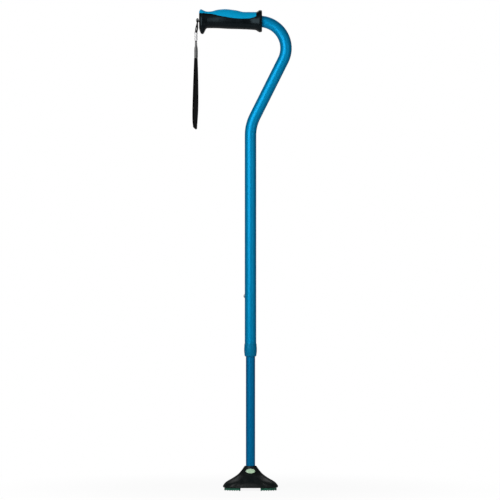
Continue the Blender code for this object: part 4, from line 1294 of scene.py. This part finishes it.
@dataclass
class HeightLock:
    """Snap button, leaf spring, bushes, clamp ring and locking collar."""

    shaft: Vector
    collar_shelf: float = 1.8 * MM
    button_radius: float = 3.75 * MM
    button_flange: float = 5.0 * MM
    flange_thickness: float = 0.8 * MM
    button_back: float = 5.556 * MM
    button_reach: float = 3.1 * MM
    dome: float = 2.4 * MM
    clamp_taper: float = 0.8 * MM
    saw_cut: float = 1.6 * MM
    bush_wall: float = 0.575 * MM
    bush_flange: float = 4.0 * MM
    bush_cap: float = 2.0 * MM

    # Radius and height of the collar's outline, in millimetres.
    COLLAR_ROWS = (
        (10.825, 0.0), (11.5, 0.45), (11.95, 1.3), (12.3, 3.0), (12.55, 5.0), (12.85, 7.0),
        (13.1, 9.2), (13.2, 12.0), (13.2, 15.5), (13.05, 18.5), (12.85, 21.3), (12.7, 23.8),
        (12.62, 25.6), (12.5, 26.2), (12.35, 26.5),
    )

    def build(self) -> None:
        """Model the lock from the outside in. The leaf spring's own shape is right."""
        self.build_collar()
        self.build_button()
        self.build_clamp_ring()
        self.build_bushes()
        dress_node("button_spring", SPRING_STEEL)

    def build_collar(self) -> None:
        """Soft barrel of a collar, widest at its middle and drawn in to a lip on the leg."""
        box = Extent.of("lock_collar")
        lip, bore, shelf = STOCK.on_leg, STOCK.on_upper, box.low.z + self.collar_shelf
        rise, run = 0.2 * MM, 0.3 * MM
        profile = [(lip, box.low.z + rise), (lip + run, box.low.z)]
        for radius, up in refined(self.COLLAR_ROWS, 4):
            profile.append((radius * MM, box.low.z + up * MM))
        profile += [(bore, box.high.z), (bore, shelf), (lip, shelf)]
        bench = Bench.turned("locking_collar", profile, self.shaft, STOCK.sides)
        bench.finish(COLLAR_BLUE, "collar", "blue_collar", "lock_collar", crease=40.0)

    def build_button(self) -> None:
        """Domed steel button with the flange that keeps it in the leg."""
        radius, back, edge, steps = self.button_radius, self.button_back, 0.1 * MM, 12
        front, top = back + self.flange_thickness, STOCK.upper + self.button_reach
        profile = ring_section(0.0, self.button_flange, back, front, edge)[:-1]
        profile.append((radius, front))
        for i in range(steps):
            turn = QUARTER * i / steps
            profile.append((radius * math.cos(turn), top - self.dome * (1 - math.sin(turn))))
        profile.append((0.0, top))
        bench = Bench.turned("press_button", profile, Vector(), sides=48, closed=False)
        turn = Vector(PLUMB).rotation_difference(button_outwards()).to_matrix().to_4x4()
        place = Matrix.Translation((self.shaft.x, 0.0, Extent.of("snap_button").middle.z))
        bench.piece.data.transform(place @ turn)
        bench.finish(BUTTON_STEEL, "button", "bright_button", "snap_button")

    def build_clamp_ring(self) -> None:
        """Split nylon ring that the collar squeezes on the leg."""
        box = Extent.of("clamp_ring")
        bore, outer, edge = STOCK.on_leg, STOCK.upper, 0.25 * MM
        waist = outer - self.clamp_taper
        low, middle = box.low.z, box.middle.z
        start = [(bore, low), (waist - edge, low), (waist, low + edge), (outer, middle)]
        rest = ring_section(bore, outer, low, box.high.z, edge)[3:]
        bench = Bench.turned("split_clamp", [*start, *rest], self.shaft, STOCK.sides)
        saw = Bench.start(
            "clamp_saw",
            bpy.ops.mesh.primitive_cube_add,
            size=1.0,
            location=(self.shaft.x, outer, middle),
            scale=(self.saw_cut, 2 * outer, 2 * box.tall),
        )
        bench.combine(saw)
        bench.finish(BLACK_NYLON, "clamp", "black_nylon", "clamp_ring")

    def build_bushes(self) -> None:
        """Nylon bushes: one in the upper tube's lower end, one on top of the leg."""
        bore, edge = STOCK.on_leg, 0.2 * MM
        outer = bore + self.bush_wall
        box = Extent.of("tube_end_bush")
        flange = (STOCK.upper, box.low.z + self.bush_flange)
        section = ring_section(bore, outer, box.low.z, box.high.z, edge, flange)
        bench = Bench.turned("end_bush", section, self.shaft, STOCK.sides)
        bench.finish(WHITE_NYLON, "upper", "white_nylon", "tube_end_bush")
        box = Extent.of("leg_guide_bush")
        cap, hole = box.high.z - self.bush_cap, STOCK.leg - 2 * STOCK.wall
        ring = ring_section(bore, outer, box.low.z, box.high.z, edge)[:-1]
        section = [(hole, cap), (bore, cap), *ring, (hole, box.high.z)]
        bench = Bench.turned("guide_bush", section, self.shaft, STOCK.sides)
        bench.finish(WHITE_NYLON, "base", "white_nylon", "leg_guide_bush")


# Grip


class Station(NamedTuple):
    """The grip's outline at one place along X, measured from its axis."""

    x: float
    top: float
    bottom: float
    side: float
    seam: float

    @property
    def seam_angle(self) -> float:
        """The angle from the top at which the palm pad's edge lies."""
        return math.acos(max(-0.95, min(0.95, self.seam / self.top)))


@dataclass
class Grip:
    """Moulded rubber grip, its palm pad, the end plug and the strap's eye."""

    left: float
    right: float
    axis: float
    bend_start: float
    end_wall: float = 4.6 * MM
    mouth: float = 0.5 * MM
    pad: float = 3.0 * MM
    seam_gap: float = 0.45 * MM
    pad_end: float = 12.0 * MM
    level_end: float = 3.0 * MM
    thinnest: float = 0.4 * MM
    end_seam: float = 0.06 * MM
    bed_run: float = 0.7 * MM
    start_round: float = 0.4 * MM
    stop_round: float = 0.9 * MM
    below_steps: int = 73
    bed_steps: int = 41
    pad_steps: int = 37
    plug_flange: float = 2.4 * MM
    plug_edge: float = 0.3 * MM
    shank_hole: float = 2.3 * MM
    shank_radius: float = 2.0 * MM
    shank_start: float = 2.2 * MM
    lug_radius: float = 3.0 * MM
    lug_rise: float = 0.9 * MM
    lug_rounding: float = 0.45 * MM
    eye_hole: float = 1.5 * MM

    # Place along X, then how far top, bottom, side and seam stand out past the tube, in
    # millimetres. The place is measured from the grip's left end, as a share of the palm, and
    # from its right end.
    LEFT_FLANGE_ROWS = (
        (0.0, 7.6, 1.2, 0.1, 5.0), (1.0, 10.6, 6.0, 3.1, 5.1), (2.4, 12.7, 10.6, 5.1, 5.1),
        (4.1, 13.2, 13.3, 6.1, 5.1), (6.2, 12.5, 14.5, 6.3, 5.0), (8.2, 11.5, 14.2, 6.1, 5.1),
        (10.3, 10.4, 11.9, 5.7, 5.2), (12.4, 9.5, 7.7, 5.3, 5.1), (14.5, 8.9, 3.9, 5.1, 4.8),
        (17.0, 8.5, 2.3, 4.9, 4.4),
    )
    PALM_ROWS = (
        (0.056, 8.6, 2.2, 5.0, 4.0), (0.120, 9.7, 2.2, 5.2, 3.1), (0.183, 11.6, 2.3, 5.5, 1.5),
        (0.245, 12.6, 2.5, 5.8, -0.3), (0.370, 13.5, 3.3, 6.1, -2.8), (0.494, 12.5, 3.8, 5.9, -5.0),
        (0.618, 10.7, 4.1, 5.5, -6.5), (0.680, 9.2, 4.3, 5.3, -6.8), (0.744, 7.8, 4.6, 5.1, -6.8),
        (0.806, 7.6, 4.8, 4.7, -6.7), (0.880, 7.6, 5.2, 4.5, -6.0), (0.940, 7.6, 5.6, 5.0, -4.6),
    )
    RIGHT_FLANGE_ROWS = (
        (13.8, 7.6, 6.2, 6.4, -2.7), (12.0, 7.8, 6.7, 7.0, -1.8), (9.5, 8.9, 8.4, 7.8, -1.8),
        (7.2, 10.7, 9.8, 8.5, -1.8), (5.2, 11.6, 10.6, 9.1, -1.8), (2.2, 11.5, 10.4, 9.0, -1.8),
        (0.7, 10.7, 9.6, 8.1, -1.8), (0.0, 9.2, 8.2, 6.7, -1.8),
    )
    # How the body and the pad are rounded at the seam: off it and below the face, in millimetres.
    BODY_LIP = ((0.55, 0.0), (0.18, 0.14), (0.0, 0.55))
    PAD_LIP = ((0.9, 0.0), (0.45, 0.07), (0.16, 0.28), (0.0, 0.75))
    # How the pad's bed runs out in the body: past the pad and how deep, in millimetres.
    BED_END = ((0.08, 0.5), (0.2, 0.14), (0.5, 0.0))
    # How the pad's ends are rounded: off the end and drawn in, in millimetres.
    PAD_START = ((0.0, 0.9), (0.0, 0.4), (0.05, 0.2), (0.25, 0.05))
    PAD_STOP = ((0.7, 0.0), (0.3, 0.08), (0.06, 0.3), (0.0, 0.7))

    @property
    def pad_limit(self) -> float:
        """Where along X the palm pad ends."""
        return self.right - self.pad_end

    def build(self) -> None:
        """Model the grip and what it holds."""
        self.build_body()
        self.build_pad()
        self.build_plug()
        self.build_eye()

    def stations(self) -> list[Station]:
        """The grip's outline from its left end to its right end.

        Returns:
            The outline's stations, in metres.
        """
        palm_start = self.left + self.LEFT_FLANGE_ROWS[-1][0] * MM
        palm_end = self.right - self.RIGHT_FLANGE_ROWS[0][0] * MM
        rows = [(self.left + row[0] * MM, *row[1:]) for row in self.LEFT_FLANGE_ROWS]
        for row in self.PALM_ROWS:
            rows.append((palm_start + row[0] * (palm_end - palm_start), *row[1:]))
        rows += [(self.right - row[0] * MM, *row[1:]) for row in self.RIGHT_FLANGE_ROWS]
        placed = [(x, *(STOCK.upper + value * MM for value in rest)) for x, *rest in rows]
        return [Station(*row) for row in refined(placed, 5).tolist()]

    @staticmethod
    def station_at(stations: Sequence[Station], x: float) -> Station:
        """The outline at any place along X."""
        columns = list(zip(*stations))
        return Station(*(float(np.interp(x, columns[0], column)) for column in columns))

    def spot(self, station: Station, angle: float, inset: float) -> Point:
        """A point of the grip's contour.

        Args:
            station: The outline at this place along X.
            angle: The angle from the top.
            inset: How far the point is sunk below the contour.

        Returns:
            The point.
        """
        tall = station.top if math.cos(angle) > 0 else station.bottom
        across = (station.side - inset) * math.sin(angle)
        return (station.x, across, self.axis + (tall - inset) * math.cos(angle))

    def bed(self, station: Station, angle: float) -> float:
        """How deep the pad goes here: its own thickness, but cut off level at the end face.

        Args:
            station: The outline at this place along X.
            angle: The angle from the top.

        Returns:
            The depth.
        """
        share = min(1.0, (station.x - self.left) / self.level_end)
        level = station.top - station.seam / math.cos(angle)
        return share * self.pad + (1 - share) * min(self.pad, max(self.thinnest, level))

    def body_ring(self, station: Station, recess: float) -> list[Point]:
        """The rubber body's section: round below, a soft lip each side, the pad's bed on top.

        Args:
            station: The outline at this place along X.
            recess: How deep the pad's bed may be here, at the most.

        Returns:
            The section's points, the first one repeated at the end.
        """
        reach = station.side - self.pad
        edge = station.seam_angle + self.seam_gap / reach
        (widest, _), *lip = ((off * MM / reach, sink * MM) for off, sink in self.BODY_LIP)
        start = edge + widest
        turns = np.linspace(start, math.tau - start, self.below_steps)
        ring = [self.spot(station, angle, 0.0) for angle in turns]
        for off, inset in lip:
            ring.append(self.spot(station, math.tau - edge - off, min(inset, recess)))
        for angle in np.linspace(-edge, edge, self.bed_steps):
            floor = min(recess, self.bed(station, angle) + CLEARANCE)
            ring.append(self.spot(station, angle, floor))
        for off, inset in reversed(lip):
            ring.append(self.spot(station, edge + off, min(inset, recess)))
        return [*ring, ring[0]]

    def bore_ring(self, x: float, radius: float, like: Sequence[Point]) -> list[Point]:
        """A round ring of the bore, whose points face those of another ring.

        Args:
            x: The ring's place along X.
            radius: Its radius.
            like: The ring whose angles it follows.

        Returns:
            The ring's points.
        """
        bend, past = STOCK.handle_bend, max(0.0, x - self.bend_start)
        drop = bend - math.sqrt(bend**2 - past**2)
        ring = []
        for point in like:
            angle = math.atan2(point[1], point[2] - self.axis)
            up = self.axis - drop + radius * math.cos(angle)
            ring.append((x, radius * math.sin(angle), up))
        return ring

    def build_body(self) -> None:
        """Black rubber body with its flanges, its bed for the pad and the bore for the tube."""
        stations, end = self.stations(), self.pad_limit
        deep = self.pad + CLEARANCE
        rings = [self.body_ring(row, deep) for row in stations if row.x <= end + WELD]
        bed_end = [(past * MM, recess * MM) for past, recess in self.BED_END]
        for past, recess in ((self.end_seam, deep), *bed_end):
            rings.append(self.body_ring(self.station_at(stations, end + past), recess))
        rings += [self.body_ring(row, 0.0) for row in stations if row.x > end + self.bed_run]
        rim, face = rings[-1], rings[0]
        bore, inner_end = STOCK.on_upper, self.left + self.end_wall
        rings.append(self.bore_ring(self.right, bore + self.mouth, rim))
        for x in (self.right - self.mouth, self.bend_start, inner_end):
            rings.append(self.bore_ring(x, bore, rim))
        for x in (inner_end, self.left):
            rings.append(self.bore_ring(x, self.shank_hole, face))
        rings.append(face)
        bench = Bench.skinned("grip_rubber", rings)
        bench.finish(GRIP_BLACK, "upper", "black_grip", "grip_body", crease=40.0)

    def pad_ring(self, station: Station, shrink: float) -> list[Point]:
        """The palm pad's section: its crowned face, its round edges and its inner face.

        Args:
            station: The outline at this place along X.
            shrink: How far the whole section is drawn in, for the pad's ends.

        Returns:
            The section's points, the first one repeated at the end.
        """
        reach = station.side - self.pad
        edge = station.seam_angle - shrink / reach
        lip = [(-edge + off * MM / reach, shrink + sink * MM) for off, sink in self.PAD_LIP[::-1]]
        turns = np.linspace(lip[-1][0], -lip[-1][0], self.pad_steps)[1:-1]
        face = [(angle, shrink) for angle in turns]
        outer = [*lip, *face, *((-angle, inset) for angle, inset in reversed(lip))]
        share = shrink / self.pad
        ring = []
        for angle, inset in outer:
            deep = self.bed(station, angle)
            sunk = min(share * deep + inset - shrink, (1 - share) * deep)
            ring.append(self.spot(station, angle, sunk))
        for angle, _ in reversed(outer):
            ring.append(self.spot(station, angle, (1 - share) * self.bed(station, angle)))
        return [*ring, ring[0]]

    def build_pad(self) -> None:
        """Blue palm pad, flush with the body round a fine seam."""
        stations = self.stations()
        rows = [row for row in stations if row.x <= self.pad_limit + WELD]
        start, end = rows[0].x, rows[-1].x
        first = [(start + off * MM, shrink * MM) for off, shrink in self.PAD_START]
        last = [(end - off * MM, shrink * MM) for off, shrink in self.PAD_STOP]
        low, high = start + self.start_round, end - self.stop_round
        body = [row for row in rows if low < row.x < high]
        rings = [self.pad_ring(self.station_at(stations, x), shrink) for x, shrink in first]
        rings += [self.pad_ring(row, 0.0) for row in body]
        rings += [self.pad_ring(self.station_at(stations, x), shrink) for x, shrink in last]
        bench = Bench.skinned("palm_inset", rings)
        with bench.editing(whole=True):
            bpy.ops.mesh.fill_holes(sides=0)
        bench.tidy()
        bench.finish(PALM_BLUE, "upper", "blue_pad", "grip_palm_pad", crease=50.0)

    def build_plug(self) -> None:
        """Plug in the tube's end, which the eye's shank screws into."""
        box = Extent.of("tube_end_plug")
        flange = (STOCK.upper - CLEARANCE, self.plug_flange)
        inner = STOCK.upper - STOCK.wall - CLEARANCE
        length = box.high.x - box.low.x
        section = ring_section(self.shank_hole, inner, 0.0, length, self.plug_edge, flange)
        bench = Bench.turned("tube_plug", section, Vector(), sides=64)
        lay = Matrix.Rotation(QUARTER, 4, "Y")
        bench.piece.data.transform(Matrix.Translation((box.low.x, 0.0, self.axis)) @ lay)
        bench.finish(BLACK_NYLON, "upper", "black_nylon", "tube_end_plug")

    def build_eye(self) -> None:
        """Grey eye: a rounded lug with a cross hole, on a shank."""
        box = Extent.of("strap_eye")
        thickness = box.high.y - box.low.y
        middle = Vector((box.low.x + self.lug_radius, 0.0, box.middle.z))
        lug = {"rotation": (QUARTER, 0.0, 0.0)}
        lug["scale"] = (1.0, (box.tall + self.lug_rise) / (2 * self.lug_radius), 1.0)
        raised = middle + self.lug_rise / 2 * Vector(PLUMB)
        bench = Bench.rod("eye_lug", 56, self.lug_radius, thickness, raised, **lug)
        across = (QUARTER, 0.0, 0.0)
        hole = Bench.rod("eye_drill", 48, self.eye_hole, 3 * thickness, middle, rotation=across)
        bench.combine(hole)
        bench.round_edges(self.lug_rounding, segments=4, sharper=60)
        start, end = middle.x + self.shank_start, box.high.x
        spot, along = ((start + end) / 2, 0.0, self.axis), (0.0, QUARTER, 0.0)
        shank = Bench.rod("eye_shank", 40, self.shank_radius, end - start, spot, rotation=along)
        bench.combine(shank, "UNION")
        bench.tidy()
        bench.finish(EYE_GREY, "upper", "grey_eye", "strap_eye", crease=45.0, flats=True)


# Foot


class Side(Enum):
    """Which way a sole pad lies from the leg."""

    NEAR_LEFT = (-1, -1)
    NEAR_RIGHT = (1, -1)
    FAR_LEFT = (-1, 1)
    FAR_RIGHT = (1, 1)


@dataclass
class Foot:
    """Moulded rubber foot with its washer, its blank badge and its four sole pads."""

    shaft: Vector
    height: float = 49.3 * MM
    half_length: float = 57.0 * MM
    half_depth: float = 43.0 * MM
    rim_wall: float = 2.1 * MM
    bottom: float = 5.8 * MM
    socket: float = 14.0 * MM
    mouth_drop: float = 0.6 * MM
    mouth_run: float = 0.5 * MM
    skirt: float = 4.0 * MM
    hollow: float = 4.6 * MM
    hollow_rounding: float = 2.2 * MM
    valley: float = 1.7 * MM
    badge_width: float = 20.4 * MM
    badge_height: float = 12.0 * MM
    badge_level: float = 38.5 * MM
    badge_thickness: float = 1.2 * MM
    badge_rounding: float = 0.35 * MM
    badge_boss: float = 0.6 * MM
    boss_margin: float = 1.0 * MM
    boss_root: float = 4.5 * MM
    boss_rounding: float = 0.25 * MM
    sole: float = 5.5 * MM
    sole_inset: float = 2.6 * MM
    sole_inner: tuple[float, float] = (20.7 * MM, 14.5 * MM)
    sole_corner: float = 3.2 * MM
    sole_rounding: float = 0.25 * MM
    grooves: int = 6
    groove_depth: float = 1.2 * MM
    groove_sink: float = 0.6 * MM
    sides: int = 144

    # The flank: share of the way down, share of the way out, and how square the ring is.
    ROWS = (
        (0.000, 0.000, 2.0), (0.024, 0.020, 2.0), (0.113, 0.078, 2.0), (0.209, 0.146, 2.1),
        (0.306, 0.224, 2.2), (0.402, 0.317, 2.4), (0.503, 0.450, 2.7), (0.607, 0.605, 3.1),
        (0.713, 0.783, 3.6), (0.811, 0.902, 4.0), (0.903, 0.969, 4.2), (0.954, 1.000, 4.3),
        (0.986, 0.998, 4.3), (1.000, 0.984, 4.3),
    )
    # The rings of the underside: their share of the way out from the middle to the hem.
    UNDER_SHARES = (0.985, 0.7, 0.35, 0.0)
    # Width and height of each step of the badge's face, in millimetres.
    BADGE_BORDER = ((0.45, 0.0), (0.12, -0.10))
    BADGE_FIELD = ((1.2, 0.13), (1.1, 0.05))

    @property
    def rim(self) -> float:
        """The radius of the foot's rim."""
        return STOCK.on_leg + self.rim_wall

    def build(self) -> None:
        """Model the foot and what it carries."""
        self.build_shell()
        self.build_washer()
        self.build_badge()
        self.build_soles()

    def half_depth_at(self, out: float) -> float:
        """Half the foot's depth where its flank is this share of the way out."""
        return self.rim + out * (self.half_depth - self.rim)

    def front_at(self, level: float) -> float:
        """How far the front of the foot stands from the leg's axis.

        Args:
            level: The height to measure at.

        Returns:
            The distance.
        """
        down = (self.height - level) / (self.height - self.bottom)
        shares, outs, _ = zip(*self.ROWS)
        return self.half_depth_at(float(eased(shares, outs, np.array([down]))[0]))

    def level_ring(self, across: np.ndarray, deep: np.ndarray, level: float) -> np.ndarray:
        """Lay a ring about the leg's axis at a height."""
        return np.column_stack([self.shaft.x + across, deep, np.full(len(across), level)])

    def hoop(self, radius: float, level: float) -> np.ndarray:
        """A round ring about the leg's axis."""
        turns = np.linspace(0.0, math.tau, self.sides + 1)
        return self.level_ring(radius * np.cos(turns), radius * np.sin(turns), level)

    def rounded(self, half_length: float, half_depth: float, exponent: float) -> np.ndarray:
        """An even ring between an ellipse and a rectangle.

        Args:
            half_length: Half its length.
            half_depth: Half its depth.
            exponent: 2 for an ellipse, and higher the squarer it is.

        Returns:
            The ring's points.
        """
        turns = np.linspace(0.0, math.tau, 1440, endpoint=False)
        across, up = np.cos(turns), np.sin(turns)
        x = np.sign(across) * np.abs(across) ** (2 / exponent) * half_length
        y = np.sign(up) * np.abs(up) ** (2 / exponent) * half_depth
        return even_ring(np.stack([x, y], axis=1), self.sides)

    def flank_ring(self, down: float, out: float, exponent: float) -> np.ndarray:
        """A ring of the foot's outside, with a soft valley either side of each toe.

        Args:
            down: The share of the way down from rim to hem.
            out: The share of the way out from rim to toe.
            exponent: How square the ring is.

        Returns:
            The ring's points.
        """
        sizes = (self.rim + out * (self.half_length - self.rim), self.half_depth_at(out))
        ring = self.rounded(*sizes, exponent)
        start, growing, rest, hem, fading = 0.42, 0.3, 0.58, 0.9, 0.1
        near, drift, spread, width = 0.30, 0.62, 0.62, 0.13
        deepening = float(np.clip((down - start) / growing, 0, 1)) ** 1.5
        flattening = 0.6 * float(np.clip((down - hem) / fading, 0, 1))
        depth = self.valley * deepening * (1 - flattening)
        place = (near + drift * max(0.0, down - start) / rest) * spread
        for along, across in ((0, 1), (1, 0)):
            share = np.abs(ring[:, along]) / sizes[along]
            dent = np.exp(-(((share - place) / width) ** 2))
            facing = np.clip(np.abs(ring[:, across]) / sizes[across] * 4 - 3, 0, 1)
            ring[:, across] -= np.sign(ring[:, across]) * depth * dent * facing
        level = self.height - down * (self.height - self.bottom)
        return self.level_ring(ring[:, 0], ring[:, 1], level)

    def build_shell(self) -> None:
        """Black rubber foot: socket, flared flanks down to four toes, and the hollow below."""
        flank = [self.flank_ring(*row) for row in refined(self.ROWS, 5)]
        bore, hem = STOCK.on_leg, flank[-1]
        rings = [self.hoop(0.0, self.socket), self.hoop(bore, self.socket)]
        rings.append(self.hoop(bore, self.height - self.mouth_drop))
        rings.append(self.hoop(bore + self.mouth_run, self.height))
        middle = np.array([self.shaft.x, 0.0, self.bottom])
        under = [middle + (hem - middle) * share for share in self.UNDER_SHARES]
        bench = Bench.skinned("moulded_foot", [*rings, *flank, *under])
        skirt, roof = self.skirt, self.bottom + self.hollow
        wide, deep = self.sole_inner
        long_cut = (2 * (self.half_length - 2 * skirt), 2 * (deep - skirt))
        deep_cut = (2 * (wide - skirt), 2 * (self.half_depth - skirt))
        for name, (length, depth) in (("long_cutter", long_cut), ("deep_cutter", deep_cut)):
            cutter = Bench.start(
                name,
                bpy.ops.mesh.primitive_cube_add,
                size=1.0,
                location=(self.shaft.x, 0.0, roof / 2),
                scale=(length, depth, roof),
            )
            cutter.modify("BEVEL", width=self.hollow_rounding, segments=5, limit_method="NONE")
            bench.combine(cutter)
        margin, root, edge = self.boss_margin, self.boss_root, self.boss_rounding
        bench.combine(self.oval("badge_boss", margin, -root, self.badge_boss, edge), "UNION")
        bench.finish(FOOT_BLACK, "base", "black_foot", "foot_shell", crease=38.0)

    def badge_place(self) -> Matrix:
        """The badge's place: its middle on the front of the foot, with +Z square to the face.

        Returns:
            The place as a matrix.
        """
        middle = Vector((self.shaft.x, -self.front_at(self.badge_level), self.badge_level))
        reach = 0.4 * self.badge_height
        low, high = self.badge_level - reach, self.badge_level + reach
        tilt = math.atan2(2 * reach, self.front_at(low) - self.front_at(high))
        return Matrix.Translation(middle) @ Matrix.Rotation(tilt, 4, "X")

    def oval(self, name: str, margin: float, low: float, high: float, edge: float) -> Bench:
        """An oval plate on the front of the foot.

        Args:
            name: The plate's name.
            margin: How much wider and taller than the badge it is.
            low: Where its back is, from the foot's face.
            high: Where its front is.
            edge: How far its front edge is rounded.

        Returns:
            The bench with the plate on it.
        """
        size = (self.badge_width + margin, self.badge_height + margin, 1.0)
        bench = Bench.rod(name, 96, 0.5, high - low, (0.0, 0.0, (low + high) / 2), scale=size)
        with bench.editing(Pick.FACES):
            bench.select(lambda _, normal: normal.z > 0.9, Pick.FACES)
            bpy.ops.mesh.bevel(offset=edge, segments=4, profile=0.5, affect="EDGES")
        bench.piece.data.transform(self.badge_place())
        return bench

    def build_badge(self) -> None:
        """Blank pale oval plate with a fine dark rim."""
        low = self.badge_boss + CLEARANCE
        front = low + self.badge_thickness
        bench = self.oval("oval_plate", 0.0, low, front, self.badge_rounding)
        bench.piece.data.materials.append(BADGE_RIM.material())
        bench.piece.data.materials.append(BADGE_PALE.material())
        bench.piece.active_material_index = 1
        back = self.badge_place().inverted()
        with bench.editing(Pick.FACES):
            bench.select(lambda spot, _: (back @ spot).z > front - WELD, Pick.FACES)
            for width, height in self.BADGE_BORDER:
                bpy.ops.mesh.inset(thickness=width * MM, depth=height * MM)
            bpy.ops.object.material_slot_assign()
            for width, height in self.BADGE_FIELD:
                bpy.ops.mesh.inset(thickness=width * MM, depth=height * MM)
        bench.finish(BADGE_RIM, "base", "pale_badge", "foot_badge", crease=30.0)

    def build_washer(self) -> None:
        """Zinc plated washer in the socket."""
        box, hole, edge = Extent.of("foot_washer"), 4.0 * MM, 0.2 * MM
        section = ring_section(hole, STOCK.leg, box.low.z, box.high.z, edge)
        bench = Bench.turned("socket_washer", section, self.shaft, sides=72)
        bench.finish(WASHER_ZINC, "base", "washer_steel", "foot_washer")

    def sole_outline(self) -> list[Point]:
        """The far right sole pad's outline on the floor, from corner to corner.

        Returns:
            The outline's points.
        """
        exponent, corner = self.ROWS[-1][2], self.sole_corner
        wide, deep = (inner + corner for inner in self.sole_inner)
        hem = []
        for turn in np.linspace(0.0, QUARTER, 121):
            x = (self.half_length - self.sole_inset) * max(math.cos(turn), 0.0) ** (2 / exponent)
            y = (self.half_depth - self.sole_inset) * max(math.sin(turn), 0.0) ** (2 / exponent)
            if x > wide and y > deep:
                hem.append((x, y))
        middles = ((wide, deep), (hem[0][0] - corner, deep), (wide, hem[-1][1] - corner))
        arcs = []
        for (x, y), start in zip(middles, (1.0, 1.5, 0.5)):
            turns = np.linspace(start * math.pi, (start + 0.5) * math.pi, 8)
            arcs.append([(x + corner * math.cos(a), y + corner * math.sin(a)) for a in turns])
        outline = [*arcs[0], *arcs[1], *hem[3:-3:4], *arcs[2]]
        return [(x, y, 0.0) for x, y in outline]

    def shape_sole(self) -> Bench:
        """The far right tread pad: rounded corners, and round grooves from front to back.

        Returns:
            The bench with the pad on it, about the leg's own axis.
        """
        bench = Bench.drawn("tread_model", self.sole_outline(), closed=True)
        with bench.editing(whole=True):
            bpy.ops.mesh.edge_face_add()
            rise = {"value": (0.0, 0.0, self.sole)}
            bpy.ops.mesh.extrude_region_move(TRANSFORM_OT_translate=rise)
        bench.tidy()
        wide = self.sole_inner[0]
        step = (self.half_length - self.sole_inset - wide) / (self.grooves + 1)
        radius, along = self.groove_depth + self.groove_sink, (QUARTER, 0.0, 0.0)
        spot = (wide + step, self.half_depth / 2, -self.groove_sink)
        cutter = Bench.rod("groove", 32, radius, 2 * self.half_depth, spot, rotation=along)
        bench.cut_row(cutter, self.grooves, (step, 0.0, 0.0))
        bench.round_edges(self.sole_rounding, segments=2, sharper=50)
        return bench

    def build_soles(self) -> None:
        """Green tread pads: one modelled, and its mirrored copies under the other toes."""
        model = self.shape_sole()
        for side in Side:
            name = side.name.lower()
            place = Matrix.Translation(self.shaft) @ Matrix.Diagonal((*side.value, 1, 1))
            pad = model.copied(f"tread_{name}", place)
            pad.finish(SOLE_GREEN, "base", "green_sole", f"sole_pad_{name}", crease=40.0, flats=True)
        bpy.data.objects.remove(model.piece, do_unlink=True)


def main() -> None:
    logging.basicConfig(level=logging.INFO, format="%(name)s: %(message)s")
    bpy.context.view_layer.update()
    shaft = Vector((Extent.of("leg_tube").middle.x, 0.0, 0.0))
    grip_axis = Extent.of("tube_end_plug").middle.z
    grip, eye = Extent.of("grip_body"), Extent.of("strap_eye")
    Studio(shaft).build()
    WristStrap(Vector((eye.low.x + Grip.lug_radius, 0.0, eye.middle.z))).build()
    tubes = Tubes(shaft, grip_axis)
    tubes.build()
    HeightLock(shaft).build()
    Grip(grip.low.x, grip.high.x, grip_axis, tubes.bend_start).build()
    Foot(shaft).build()


if __name__ == "__main__":
    main()
